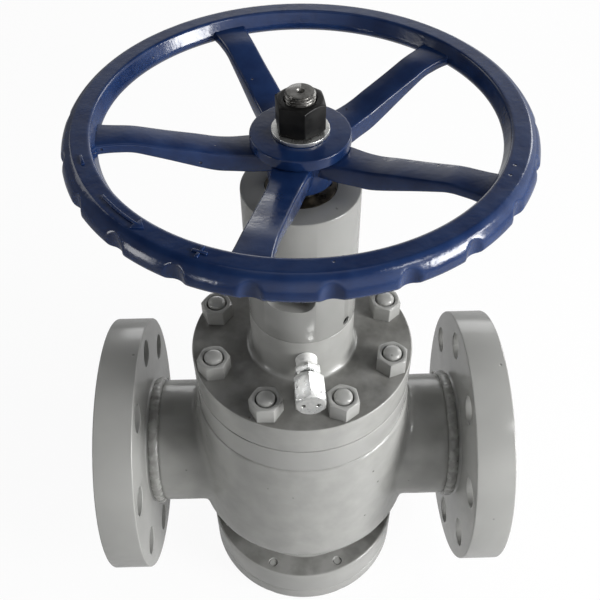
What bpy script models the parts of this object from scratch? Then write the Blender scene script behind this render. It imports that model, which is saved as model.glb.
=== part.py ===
# Flanged throttle globe valve with a rising, turning stem and a five spoke handwheel.
# Metres, +Z up, pipe along X from the inlet at -X to the outlet at +X, standing on z = 0.
import math

import bmesh
import bpy
from mathutils import Matrix, Vector

MM = 0.001

# Sizes shared by the whole valve
FACE_TO_FACE = 317.5 * MM
PORT_RADIUS = 39.0 * MM
JOINT_GAP = 0.3 * MM
EDGE_CHAMFER = 1.2 * MM

# End flanges, the three inch class 300 pattern
FLANGE_RADIUS = 105.0 * MM
FLANGE_RIM_THICKNESS = 29.5 * MM
RAISED_FACE_RADIUS = 63.5 * MM
RAISED_FACE_HEIGHT = 1.6 * MM
FLANGE_EDGE_DISTANCE = 20.85 * MM
FLANGE_HOLE_RADIUS = 11.1 * MM
FLANGE_HOLES = 8
FLANGE_STUB_LENGTH = 2.2 * MM
WELD_WIDTH = 7.6 * MM
WELD_CROWN = 2.6 * MM

# Body casting, built outwards from the trim inside it
NECK_WALL = 12.0 * MM
BODY_WALL = 12.0 * MM
BONNET_JOINT_RISE = 52.0 * MM
BODY_FLANGE_THICKNESS = 25.7 * MM
BARREL_STEP = 1.2 * MM
BARREL_BULGE = 7.7 * MM
BARREL_WIDEST_DROP = 35.0 * MM
BOWL_DEPTH = 48.0 * MM
BOWL_ROUNDNESS = 1.8
FOOT_NECK_WALL = 16.0 * MM
FOOT_NECK_LENGTH = 29.0 * MM
FOOT_FLANGE_THICKNESS = 29.8 * MM

# Passages inside the body
CHAMBER_ROOM = 4.0 * MM
CHAMBER_WALL = 8.0 * MM
SEAT_WEB_DROP = 8.0 * MM
SEAT_WEB_THICKNESS = 16.0 * MM
PASSAGE_HALF_WIDTH = 34.0 * MM
PASSAGE_LENGTH_BELOW_WEB = 50.0 * MM

# Foot cover with its gasket and countersunk screws
FOOT_COVER_THICKNESS = 13.8 * MM
FOOT_SPIGOT_HEIGHT = 6.0 * MM
FOOT_GASKET_WIDTH = 11.0 * MM
FOOT_GASKET_THICKNESS = 2.4 * MM
FOOT_SCREW_RADIUS = 5.0 * MM
FOOT_SCREW_HEAD_RADIUS = 6.7 * MM
FOOT_SCREW_OFFSET = 13.0 * MM
FOOT_EDGE_DISTANCE = 9.0 * MM
FOOT_SCREW_COUNT = 8
FOOT_SCREW_SHORT_OF_TOP = 3.0 * MM
FOOT_SCREW_SOCKET = 6.0 * MM
FOOT_SCREW_CLEARANCE = 0.3 * MM

# Bonnet
BONNET_FLANGE_THICKNESS = 26.2 * MM
BONNET_SPIGOT_LENGTH = 23.0 * MM
BONNET_NECK_SETBACK = 0.2 * MM
BONNET_NECK_HEIGHT = 39.8 * MM
BONNET_NECK_FILLET = 4.0 * MM
BONNET_BOSS_WALL = 6.2 * MM
BONNET_BOSS_HEIGHT = 23.0 * MM
BACKSEAT_BUSH_STEP = 1.0 * MM
BACKSEAT_BUSH_LENGTH = 12.0 * MM
BONNET_GASKET_WIDTH = 10.5 * MM
BONNET_GASKET_THICKNESS = 3.0 * MM

# Bonnet studs and nuts
STUD_OFFSET = 9.1 * MM
STUD_EDGE_DISTANCE = 13.0 * MM
STUD_COUNT = 8
STUD_RADIUS = 8.0 * MM
STUD_DEPTH_IN_BODY = 22.0 * MM
STUD_STAND_OUT = 16.6 * MM
STUD_DOME = 2.2 * MM
STUD_CLEARANCE = 0.3 * MM
STUD_SOCKET_CLEARANCE = 0.7 * MM
STUD_HOLE_CLEARANCE = 1.0 * MM
NUT_ACROSS_FLATS = 24.0 * MM
NUT_HEIGHT = 13.6 * MM

# Packing around the stem
STEM_RADIUS = 12.0 * MM
STEM_CLEARANCE = 0.3 * MM
PACKING_WIDTH = 6.0 * MM
PACKING_FIT = 0.1 * MM
PACKING_WASHER_HEIGHT = 4.0 * MM
PACKING_RING_HEIGHT = 6.4 * MM
PACKING_RINGS_BELOW = 1
PACKING_RINGS_ABOVE = 3
LANTERN_HEIGHT = 9.0 * MM
GLAND_HEIGHT = 5.0 * MM
GLAND_NUT_THREAD_STEP = 4.5 * MM
GLAND_NUT_ENGAGEMENT = 9.8 * MM
GLAND_NUT_THREAD_RUN_OUT = 2.5 * MM
GLAND_NUT_HEAD_STEP = 0.5 * MM
GLAND_NUT_HEAD_HEIGHT = 11.0 * MM

# Trim
SEAT_PORT_RADIUS = 28.0 * MM
SEAT_BEVEL = 4.0 * MM
SEAT_RING_WALL = 10.0 * MM
SEAT_RING_FLANGE_HEIGHT = 8.0 * MM
SEAT_LEDGE = 8.0 * MM
SEAT_GASKET_THICKNESS = 1.5 * MM
CAGE_WALL = 7.0 * MM
CAGE_COLLAR_HEIGHT = 10.0 * MM
CAGE_PORTS = 4
CAGE_PORT_WIDTH = 30.0 * MM
CAGE_PORT_BOTTOM = 5.0 * MM
CAGE_PORT_HEIGHT = 28.0 * MM
PLUG_CLEARANCE = 0.3 * MM
PLUG_HEAD_HEIGHT = 32.0 * MM
PLUG_SKIRT_LENGTH = 19.0 * MM
PLUG_SKIRT_WALL = 4.5 * MM
PLUG_NOTCHES = 4
PLUG_NOTCH_WIDTH = 22.0 * MM
PLUG_SEAL_HEIGHT = 5.0 * MM
PLUG_SEAL_DEPTH = 3.4 * MM
PLUG_LIFT = 25.0 * MM

# Stem
STEM_HEAD_STEP = 4.5 * MM
STEM_HEAD_HEIGHT = 8.0 * MM
STEM_SPINDLE_STEP = 2.0 * MM
LOCK_NUT_STEP = 4.5 * MM
LOCK_NUT_HEIGHT = 14.0 * MM
LOCK_NUT_HEX_STEP = 2.0 * MM
LOCK_NUT_HEAD_HEIGHT = 6.0 * MM
STEM_COLLAR_STEP = 3.5 * MM
STEM_COLLAR_HEIGHT = 5.5 * MM
STEM_END_STEP = 3.0 * MM
STEM_END_STAND_OUT = 6.2 * MM
STEM_CENTRE_RADIUS = 2.4 * MM
STEM_CENTRE_DEPTH = 5.0 * MM

# Yoke
YOKE_WALL = 9.0 * MM
YOKE_HEIGHT = 108.0 * MM
YOKE_WINDOW_SILL = 31.0 * MM
YOKE_WINDOW_HEIGHT = 44.0 * MM
YOKE_WINDOW_WIDTH = 35.0 * MM
YOKE_WINDOW_CORNER = 5.0 * MM
YOKE_WINDOW_TURN = -105.0
YOKE_HEAD_THICKNESS = 29.0 * MM
YOKE_NUT_WALL = 5.2 * MM
YOKE_NUT_FLANGE_STEP = 5.0 * MM
YOKE_NUT_FLANGE_HEIGHT = 5.0 * MM
YOKE_NUT_BELOW_HEAD = 5.0 * MM
SPANNER_HOLE_RADIUS = 2.0 * MM
LOCK_SCREW_RADIUS = 3.0 * MM
LOCK_SCREW_HEIGHT = 6.0 * MM
LOCK_SCREW_TURN = -37.6
LOCK_SCREW_SOCKET = 3.0 * MM

# Handwheel
HUB_GAP = 7.2 * MM
HUB_HEIGHT = 32.8 * MM
HUB_DISC_STEP = 10.1 * MM
HUB_DISC_HEIGHT = 6.5 * MM
HUB_BOSS_WALL = 8.0 * MM
RIM_OUTER_RADIUS = 137.0 * MM
RIM_WIDTH = 21.5 * MM
RIM_HEIGHT = 14.0 * MM
RIM_RISE = 12.5 * MM
RIM_NOTCHES = 22
RIM_NOTCH_RADIUS = 10.0 * MM
RIM_NOTCH_DEPTH = 3.6 * MM
RIM_NOTCH_TURN = -85.2
SPOKES = 5
SPOKE_TURN = 184.5
SPOKE_WIDTH = 19.5 * MM
SPOKE_ROOT_DEPTH = 12.0 * MM
SPOKE_TIP_DEPTH = 6.5 * MM
SPOKE_TIP_BELOW_RIM = 6.0 * MM
SPOKE_BEND_FROM_DISC = 13.9 * MM
SPOKE_BEND_FROM_RIM = 16.5 * MM
WHEEL_WASHER_WIDTH = 7.9 * MM
WHEEL_WASHER_THICKNESS = 2.4 * MM
WHEEL_NUT_WALL = 4.2 * MM
WHEEL_NUT_HEIGHT = 17.6 * MM
THREAD_CLEARANCE = 0.3 * MM

# Grease fitting on the bonnet neck
FITTING_TURN = -87.0
FITTING_THREAD_RADIUS = 6.2 * MM
FITTING_TAPE_WIDTH = 1.5 * MM
FITTING_TAPE_LENGTH = 8.6 * MM
FITTING_HEX = 17.0 * MM
FITTING_HEX_LENGTH = 7.4 * MM
FITTING_CAP_HEX = 20.5 * MM
FITTING_CAP_LENGTH = 23.5 * MM
FITTING_CAP_WALL = 5.0 * MM
FITTING_CAP_HOLE_RADIUS = 1.1 * MM
FITTING_CAP_HOLE_SPACING = 9.0 * MM
FITTING_BORE_RADIUS = 1.6 * MM

# Facets of the round shapes
FINE_STEPS = 32
RIM_STEPS = 44
MEDIUM_STEPS = 18
RING_STEPS = 16
SMALL_STEPS = 12
HOLE_STEPS = 10
TINY_STEPS = 8
ARC_STEPS = 4

MATERIALS = {
    "grey_enamel": ((0.33, 0.34, 0.32), 0.34, 0.0),
    "blue_enamel": ((0.020, 0.055, 0.20), 0.25, 0.0),
    "black_oxide": ((0.018, 0.018, 0.018), 0.45, 0.6),
    "zinc_plate": ((0.72, 0.73, 0.72), 0.3, 1.0),
    "stainless": ((0.55, 0.55, 0.53), 0.3, 1.0),
    "bronze": ((0.52, 0.34, 0.15), 0.35, 1.0),
    "graphite": ((0.06, 0.06, 0.065), 0.7, 0.0),
    "ptfe": ((0.83, 0.83, 0.80), 0.5, 0.0),
    "hard_steel": ((0.36, 0.36, 0.37), 0.35, 1.0),
}

# Radii that follow from the sizes above, from the stem and the seat outwards
spindle_radius = STEM_RADIUS - STEM_SPINDLE_STEP
stem_head_radius = STEM_RADIUS + STEM_HEAD_STEP
stem_collar_radius = STEM_RADIUS + STEM_COLLAR_STEP
stem_end_radius = STEM_RADIUS - STEM_END_STEP
stem_square = 2 * stem_end_radius
lock_nut_radius = stem_head_radius + LOCK_NUT_STEP
lock_nut_flats = 2 * (lock_nut_radius - LOCK_NUT_HEX_STEP)
packing_box_radius = STEM_RADIUS + PACKING_WIDTH
backseat_bore_radius = packing_box_radius + BACKSEAT_BUSH_STEP
gland_thread_radius = packing_box_radius + GLAND_NUT_THREAD_STEP
gland_nut_flats = 2 * (gland_thread_radius + GLAND_NUT_HEAD_STEP)
boss_radius = gland_thread_radius + BONNET_BOSS_WALL
yoke_bore = boss_radius + JOINT_GAP
yoke_radius = yoke_bore + YOKE_WALL
bonnet_neck_radius = yoke_radius - BONNET_NECK_SETBACK
yoke_nut_radius = STEM_RADIUS + STEM_CLEARANCE + YOKE_NUT_WALL
yoke_nut_flange_radius = yoke_nut_radius + YOKE_NUT_FLANGE_STEP
hub_boss_radius = STEM_RADIUS + HUB_BOSS_WALL
hub_disc_radius = hub_boss_radius + HUB_DISC_STEP
wheel_washer_radius = stem_end_radius + THREAD_CLEARANCE + WHEEL_WASHER_WIDTH
wheel_nut_flats = 2 * (stem_end_radius + THREAD_CLEARANCE + WHEEL_NUT_WALL)
spoke_bend_start = hub_disc_radius + SPOKE_BEND_FROM_DISC
spoke_bend_end = RIM_OUTER_RADIUS - RIM_WIDTH - SPOKE_BEND_FROM_RIM

seat_hole_radius = SEAT_PORT_RADIUS + SEAT_RING_WALL
cage_outer_radius = seat_hole_radius + SEAT_LEDGE
lower_bore_radius = seat_hole_radius + SEAT_LEDGE
chamber_radius = cage_outer_radius + CHAMBER_ROOM
chamber_outside = chamber_radius + CHAMBER_WALL
bonnet_gasket_radius = chamber_radius + BONNET_GASKET_WIDTH
stud_circle = bonnet_gasket_radius + STUD_OFFSET
stud_socket_radius = STUD_RADIUS + STUD_SOCKET_CLEARANCE
stud_hole_radius = STUD_RADIUS + STUD_HOLE_CLEARANCE
body_flange_radius = stud_circle + STUD_EDGE_DISTANCE
barrel_top_radius = body_flange_radius + BARREL_STEP
barrel_radius = barrel_top_radius + BARREL_BULGE
foot_gasket_radius = lower_bore_radius + FOOT_GASKET_WIDTH
foot_neck_radius = lower_bore_radius + FOOT_NECK_WALL
foot_screw_circle = foot_neck_radius + FOOT_SCREW_OFFSET
foot_flange_radius = foot_screw_circle + FOOT_EDGE_DISTANCE
neck_radius = PORT_RADIUS + NECK_WALL
flange_bolt_circle = FLANGE_RADIUS - FLANGE_EDGE_DISTANCE
tape_radius = FITTING_THREAD_RADIUS + FITTING_TAPE_WIDTH

# Heights, from the floor up
foot_joint = FOOT_COVER_THICKNESS
foot_flange_top = foot_joint + JOINT_GAP + FOOT_FLANGE_THICKNESS
bowl_bottom = foot_flange_top + FOOT_NECK_LENGTH
bowl_share = (1 - (foot_neck_radius / barrel_radius) ** BOWL_ROUNDNESS) ** (1 / BOWL_ROUNDNESS)
widest_height = bowl_bottom + bowl_share * BOWL_DEPTH
pipe_axis = widest_height + BARREL_WIDEST_DROP
bonnet_joint = pipe_axis + neck_radius + BONNET_JOINT_RISE
body_top = bonnet_joint - JOINT_GAP / 2
body_flange_bottom = body_top - BODY_FLANGE_THICKNESS
bonnet_bottom = bonnet_joint + JOINT_GAP / 2
bonnet_flange_top = bonnet_joint + BONNET_FLANGE_THICKNESS
spigot_bottom = bonnet_joint - BONNET_SPIGOT_LENGTH
neck_top = bonnet_flange_top + BONNET_NECK_HEIGHT
boss_top = neck_top + BONNET_BOSS_HEIGHT
yoke_bottom = neck_top + JOINT_GAP
yoke_top = neck_top + YOKE_HEIGHT
yoke_head_bottom = yoke_top - YOKE_HEAD_THICKNESS
yoke_nut_bottom = yoke_head_bottom - YOKE_NUT_BELOW_HEAD
hub_bottom = yoke_top + HUB_GAP
hub_top = hub_bottom + HUB_HEIGHT
rim_top = hub_top + RIM_RISE
gland_nut_bottom = boss_top - GLAND_NUT_ENGAGEMENT
packing_rings = PACKING_RINGS_BELOW + PACKING_RINGS_ABOVE
packing_height = (PACKING_WASHER_HEIGHT + packing_rings * PACKING_RING_HEIGHT + LANTERN_HEIGHT
                  + GLAND_HEIGHT + (packing_rings + 4) * JOINT_GAP)
packing_floor = gland_nut_bottom - packing_height
lantern_bottom = (packing_floor + PACKING_WASHER_HEIGHT + 2 * JOINT_GAP
                  + PACKING_RINGS_BELOW * (PACKING_RING_HEIGHT + JOINT_GAP))
fitting_height = lantern_bottom + LANTERN_HEIGHT / 2
washer_bottom = hub_top + JOINT_GAP
wheel_nut_bottom = washer_bottom + WHEEL_WASHER_THICKNESS + JOINT_GAP
stem_top = wheel_nut_bottom + WHEEL_NUT_HEIGHT + STEM_END_STAND_OUT

web_top = pipe_axis - SEAT_WEB_DROP
web_bottom = web_top - SEAT_WEB_THICKNESS
passage_floor = web_bottom - PASSAGE_LENGTH_BELOW_WEB
seat_gasket_bottom = web_top + JOINT_GAP
seat_flange_bottom = seat_gasket_bottom + SEAT_GASKET_THICKNESS + JOINT_GAP
seat_top = seat_flange_bottom + SEAT_RING_FLANGE_HEIGHT
cage_bottom = seat_top + JOINT_GAP
cage_top = spigot_bottom - JOINT_GAP
cage_bore = cage_outer_radius - CAGE_WALL
plug_radius = cage_bore - PLUG_CLEARANCE
plug_bottom = cage_bottom + JOINT_GAP
plug_top = plug_bottom + PLUG_HEAD_HEIGHT
collar_top = spigot_bottom - JOINT_GAP - PLUG_LIFT
collar_bottom = collar_top - STEM_COLLAR_HEIGHT
lock_nut_bottom = plug_top - (LOCK_NUT_HEIGHT - LOCK_NUT_HEAD_HEIGHT)
stem_head_top = lock_nut_bottom - JOINT_GAP
stem_head_bottom = stem_head_top - STEM_HEAD_HEIGHT

flange_back = FACE_TO_FACE / 2 - RAISED_FACE_HEIGHT - FLANGE_RIM_THICKNESS
stub_end = flange_back - FLANGE_STUB_LENGTH
body_neck_end = stub_end - WELD_WIDTH - 2 * JOINT_GAP


def remove_objects():
    for thing in list(bpy.data.objects):
        bpy.data.objects.remove(thing, do_unlink=True)


def new_collection(name):
    group = bpy.data.collections.new(name)
    bpy.context.scene.collection.children.link(group)
    return group


def make_material(name, colour, roughness, metallic):
    material = bpy.data.materials.new(name)
    material.use_nodes = True
    shader = material.node_tree.nodes["Principled BSDF"]
    shader.inputs["Base Color"].default_value = (*colour, 1.0)
    shader.inputs["Roughness"].default_value = roughness
    shader.inputs["Metallic"].default_value = metallic
    material.diffuse_color = (*colour, 1.0)
    return material


remove_objects()
valve = new_collection("throttle_globe_valve")
cutters = new_collection("cutters")
materials = {name: make_material(name, *look) for name, look in MATERIALS.items()}


def add_object(name, mesh, material):
    """A kept piece where a material is given, and a hidden cutter where it is None."""
    thing = bpy.data.objects.new(name, mesh)
    if material is None:
        cutters.objects.link(thing)
        thing.hide_render = True
        thing.display_type = "WIRE"
    else:
        valve.objects.link(thing)
        mesh.materials.clear()
        mesh.materials.append(materials[material])
    return thing


def mesh_from_bmesh(name, shape):
    mesh = bpy.data.meshes.new(name)
    shape.to_mesh(mesh)
    shape.free()
    return mesh


def turned(name, profile, material, steps, closed=False, place=None):
    """Turns (radius, height) points about the local Z axis; they run down the outer side."""
    shape = bmesh.new()
    points = [shape.verts.new((radius, 0.0, height)) for radius, height in profile]
    for start, end in zip(points, points[1:]):
        shape.edges.new((start, end))
    if closed:
        shape.edges.new((points[-1], points[0]))
    thing = add_object(name, mesh_from_bmesh(name, shape), material)
    screw = thing.modifiers.new("turn", "SCREW")
    screw.axis = "Z"
    screw.steps = steps
    screw.render_steps = steps
    screw.use_merge_vertices = True
    screw.merge_threshold = 0.000001
    screw.use_smooth_shade = False
    if place is not None:
        thing.matrix_world = place
    return thing


def ring(name, inner, outer, bottom, top, material, steps, chamfer=0.0, place=None):
    """A plain ring, with its outer corners broken where a chamfer is given."""
    if chamfer:
        profile = [(inner, top), (outer - chamfer, top), (outer, top - chamfer),
                   (outer, bottom + chamfer), (outer - chamfer, bottom), (inner, bottom)]
    else:
        profile = [(inner, top), (outer, top), (outer, bottom), (inner, bottom)]
    return turned(name, profile, material, steps, closed=True, place=place)


def cylinders(name, radius, bottom, top, spots, segments, place=None):
    """One cutter of upright cylinders at the given (x, y) spots."""
    shape = bmesh.new()
    for x, y in spots:
        middle = Matrix.Translation((x, y, (bottom + top) / 2))
        bmesh.ops.create_cone(shape, cap_ends=True, segments=segments, radius1=radius,
                              radius2=radius, depth=top - bottom, matrix=middle)
    thing = add_object(name, mesh_from_bmesh(name, shape), None)
    if place is not None:
        thing.matrix_world = place
    return thing


def hexagon(name, across_flats, bottom, top, turn=0.0, material=None):
    shape = bmesh.new()
    corner = across_flats / 2 / math.cos(math.pi / 6)
    middle = Matrix.Translation((0, 0, (bottom + top) / 2)) @ Matrix.Rotation(turn, 4, "Z")
    bmesh.ops.create_cone(shape, cap_ends=True, segments=6, radius1=corner,
                          radius2=corner, depth=top - bottom, matrix=middle)
    return add_object(name, mesh_from_bmesh(name, shape), material)


def box(name, low, high, material=None, place=None):
    shape = bmesh.new()
    bmesh.ops.create_cube(shape, size=1.0)
    size = Vector(high) - Vector(low)
    bmesh.ops.scale(shape, vec=size, verts=shape.verts)
    bmesh.ops.translate(shape, vec=(Vector(low) + Vector(high)) / 2, verts=shape.verts)
    thing = add_object(name, mesh_from_bmesh(name, shape), material)
    if place is not None:
        thing.matrix_world = place
    return thing


def slab(name, outline, half_thickness, material=None, place=None):
    """A flat outline in the local XY plane, thickened both ways along local Z."""
    curve = bpy.data.curves.new(name, "CURVE")
    curve.dimensions = "2D"
    curve.fill_mode = "BOTH"
    curve.extrude = half_thickness
    spline = curve.splines.new("POLY")
    spline.points.add(len(outline) - 1)
    for point, (x, y) in zip(spline.points, outline):
        point.co = (x, y, 0.0, 1.0)
    spline.use_cyclic_u = True
    flat = bpy.data.objects.new(name + "_outline", curve)
    cutters.objects.link(flat)
    seen = flat.evaluated_get(bpy.context.evaluated_depsgraph_get())
    mesh = bpy.data.meshes.new_from_object(seen)
    mesh.name = name
    bpy.data.objects.remove(flat, do_unlink=True)
    shape = bmesh.new()
    shape.from_mesh(mesh)
    bmesh.ops.remove_doubles(shape, verts=shape.verts, dist=0.000001)
    bmesh.ops.recalc_face_normals(shape, faces=shape.faces)
    shape.to_mesh(mesh)
    shape.free()
    thing = add_object(name, mesh, material)
    if place is not None:
        thing.matrix_world = place
    return thing


def combine(target, tool, operation="DIFFERENCE"):
    change = target.modifiers.new(operation.lower(), "BOOLEAN")
    change.operation = operation
    change.solver = "EXACT"
    change.object = tool
    return target


def settled_mesh(thing):
    """The mesh with its modifiers made real, so copies can share it."""
    seen = thing.evaluated_get(bpy.context.evaluated_depsgraph_get())
    mesh = bpy.data.meshes.new_from_object(seen)
    mesh.name = thing.name
    return mesh


def repeat_around(thing, names, material, radius, start, place=None):
    """Copies of one piece on a circle, turned with it, replacing the pattern piece."""
    mesh = settled_mesh(thing)
    bpy.data.objects.remove(thing, do_unlink=True)
    for index, name in enumerate(names):
        turn = start + index * math.tau / len(names)
        copy = add_object(name, mesh, material)
        spot = Matrix.Rotation(turn, 4, "Z") @ Matrix.Translation((radius, 0, 0))
        copy.matrix_world = spot if place is None else place @ spot


def circle_spots(radius, count, start):
    return [(radius * math.cos(start + k * math.tau / count),
             radius * math.sin(start + k * math.tau / count)) for k in range(count)]


def arc(centre_radius, centre_height, radius, start, end, steps=ARC_STEPS):
    """Points on an arc in the (radius, height) plane, angles in degrees from +radius."""
    turns = [math.radians(start + (end - start) * k / steps) for k in range(steps + 1)]
    return [(centre_radius + radius * math.cos(t), centre_height + radius * math.sin(t))
            for t in turns]


def along_x(offset_height, side):
    """Local +Z laid along +X for the outlet (side 1) or -X for the inlet (side -1)."""
    turn = Matrix.Rotation(side * math.pi / 2, 4, "Y")
    return Matrix.Translation((0, 0, offset_height)) @ turn


def out_from_axis(turn_degrees, height):
    """Local +Z laid flat, pointing away from the stem axis."""
    turn = Matrix.Rotation(math.radians(turn_degrees), 4, "Z")
    return Matrix.Translation((0, 0, height)) @ turn @ Matrix.Rotation(math.pi / 2, 4, "Y")


# Body casting

def barrel_profile(wall):
    """The body's outside from under its flange to the foot neck, drawn in by a wall."""
    top = body_flange_bottom
    rise = top - widest_height
    sweep = (rise * rise + BARREL_BULGE * BARREL_BULGE) / (2 * BARREL_BULGE)
    points = []
    for k in range(ARC_STEPS):
        height = top - rise * k / ARC_STEPS
        reach = barrel_radius - sweep + math.sqrt(sweep ** 2 - (height - widest_height) ** 2)
        points.append((reach - wall, height))
    inner_radius = foot_neck_radius if wall == 0 else lower_bore_radius
    steps = ARC_STEPS + 3
    for k in range(steps):
        drop = math.sin(math.pi / 2 * k / steps)
        reach = barrel_radius * (1 - drop ** BOWL_ROUNDNESS) ** (1 / BOWL_ROUNDNESS) - wall
        if reach > inner_radius:
            points.append((reach, widest_height - drop * (BOWL_DEPTH - wall)))
    return points


def body_outside():
    top = body_top
    rim = body_flange_radius
    foot = foot_flange_radius
    bottom = foot_joint + JOINT_GAP
    profile = [(0.0, top), (rim, top), (rim, body_flange_bottom)]
    bowl = barrel_profile(0.0)
    profile += bowl
    profile += [(foot_neck_radius, bowl[-1][1] - EDGE_CHAMFER),
                (foot_neck_radius, foot_flange_top),
                (foot - EDGE_CHAMFER, foot_flange_top), (foot, foot_flange_top - EDGE_CHAMFER),
                (foot, bottom), (0.0, bottom)]
    return profile


def body_bore_profile():
    gasket_floor = body_top - BONNET_GASKET_THICKNESS
    bottom = foot_joint + JOINT_GAP
    foot_recess = bottom + FOOT_GASKET_THICKNESS
    over = BODY_WALL
    recess = bonnet_gasket_radius + JOINT_GAP
    foot_recess_radius = foot_gasket_radius + JOINT_GAP
    return [(0.0, body_top + over), (recess, body_top + over), (recess, gasket_floor),
            (chamber_radius, gasket_floor), (chamber_radius, web_top),
            (seat_hole_radius, web_top), (seat_hole_radius, web_bottom),
            (lower_bore_radius, web_bottom), (lower_bore_radius, foot_recess),
            (foot_recess_radius, foot_recess), (foot_recess_radius, bottom - over),
            (0.0, bottom - over)]


def inlet_passage():
    """The way down from the inlet bore and in under the seat, kept inside the wall."""
    room = [(0.0, body_flange_bottom)] + barrel_profile(BODY_WALL)
    room += [(0.0, room[-1][1])]
    space = turned("inlet_room", room, None, MEDIUM_STEPS)
    floor = passage_floor - pipe_axis
    under_web = web_bottom - pipe_axis
    leg = -(chamber_outside + 2 * MM)
    outline = [(-barrel_radius, PASSAGE_HALF_WIDTH / 2), (leg, PASSAGE_HALF_WIDTH / 2),
               (leg, under_web), (0.0, under_web), (0.0, floor), (-barrel_radius, floor)]
    upright = Matrix.Translation((0, 0, pipe_axis)) @ Matrix.Rotation(math.pi / 2, 4, "X")
    passage = slab("inlet_way", outline, PASSAGE_HALF_WIDTH, place=upright)
    return combine(passage, space, "INTERSECT")


def outlet_mouth():
    """The upper part of the outlet bore, from the chamber out, above the seat web."""
    low = math.asin(-SEAT_WEB_DROP / PORT_RADIUS)
    steps = FINE_STEPS // 2
    turns = [low + (math.pi - 2 * low) * k / steps for k in range(steps + 1)]
    outline = [(PORT_RADIUS * math.cos(t), PORT_RADIUS * math.sin(t)) for t in turns]
    half = chamber_outside / 2 + BODY_WALL / 2
    place = Matrix.Translation((half, 0, pipe_axis)) \
        @ Matrix.Rotation(math.pi / 2, 4, "Z") @ Matrix.Rotation(math.pi / 2, 4, "X")
    return slab("outlet_mouth", outline, half, place=place)


def make_body():
    body = turned("body", body_outside(), "grey_enamel", FINE_STEPS)
    cross = Matrix.Translation((0, 0, pipe_axis)) @ Matrix.Rotation(math.pi / 2, 4, "Y")
    necks = cylinders("body_necks", neck_radius, -body_neck_end, body_neck_end,
                      [(0, 0)], FINE_STEPS, cross)
    combine(body, necks, "UNION")
    combine(body, turned("body_bore", body_bore_profile(), None, FINE_STEPS))
    combine(body, inlet_passage())
    combine(body, outlet_mouth())
    inner_end = chamber_outside + 4 * MM
    reach = body_neck_end + BODY_WALL
    combine(body, cylinders("inlet_bore", PORT_RADIUS, inner_end, reach, [(0, 0)],
                            FINE_STEPS, along_x(pipe_axis, -1)))
    combine(body, cylinders("outlet_bore", PORT_RADIUS, chamber_outside, reach, [(0, 0)],
                            FINE_STEPS, along_x(pipe_axis, 1)))
    half_step = math.pi / STUD_COUNT
    combine(body, cylinders("stud_sockets", stud_socket_radius,
                            body_top - STUD_DEPTH_IN_BODY - JOINT_GAP, body_top + BODY_WALL,
                            circle_spots(stud_circle, STUD_COUNT, half_step), TINY_STEPS))
    half_step = math.pi / FOOT_SCREW_COUNT
    combine(body, cylinders("foot_taps", FOOT_SCREW_RADIUS + FOOT_SCREW_CLEARANCE,
                            0.0, foot_flange_top + BODY_WALL,
                            circle_spots(foot_screw_circle, FOOT_SCREW_COUNT, half_step),
                            HOLE_STEPS))


# End flanges and the welds that join them to the body

def make_flange(name, side):
    face = FACE_TO_FACE / 2
    rim_face = face - RAISED_FACE_HEIGHT
    rim = FLANGE_RADIUS
    profile = [(PORT_RADIUS, face), (RAISED_FACE_RADIUS, face), (RAISED_FACE_RADIUS, rim_face),
               (rim - EDGE_CHAMFER, rim_face), (rim, rim_face - EDGE_CHAMFER),
               (rim, flange_back + EDGE_CHAMFER), (rim - EDGE_CHAMFER, flange_back),
               (neck_radius, flange_back), (neck_radius, stub_end), (PORT_RADIUS, stub_end)]
    place = along_x(pipe_axis, side)
    flange = turned(name, profile, "grey_enamel", FINE_STEPS, closed=True, place=place)
    start = math.pi / FLANGE_HOLES
    spots = circle_spots(flange_bolt_circle, FLANGE_HOLES, start)
    combine(flange, cylinders(name + "_holes", FLANGE_HOLE_RADIUS, flange_back - BODY_WALL,
                              face + BODY_WALL, spots, SMALL_STEPS, place))


def make_weld(name, side):
    inner = body_neck_end + JOINT_GAP
    outer = stub_end - JOINT_GAP
    middle = (inner + outer) / 2
    half = WELD_WIDTH / 2
    crown = [(neck_radius + WELD_CROWN * math.cos(math.pi / 2 * t),
              middle + half * math.sin(math.pi / 2 * t)) for t in (0.8, 0.45, 0, -0.45, -0.8)]
    profile = [(PORT_RADIUS, outer), (neck_radius, outer)] + crown
    profile += [(neck_radius, inner), (PORT_RADIUS, inner)]
    turned(name, profile, "grey_enamel", MEDIUM_STEPS, closed=True,
           place=along_x(pipe_axis, side))


# Foot cover that closes the body from below, and carries the valve

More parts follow.
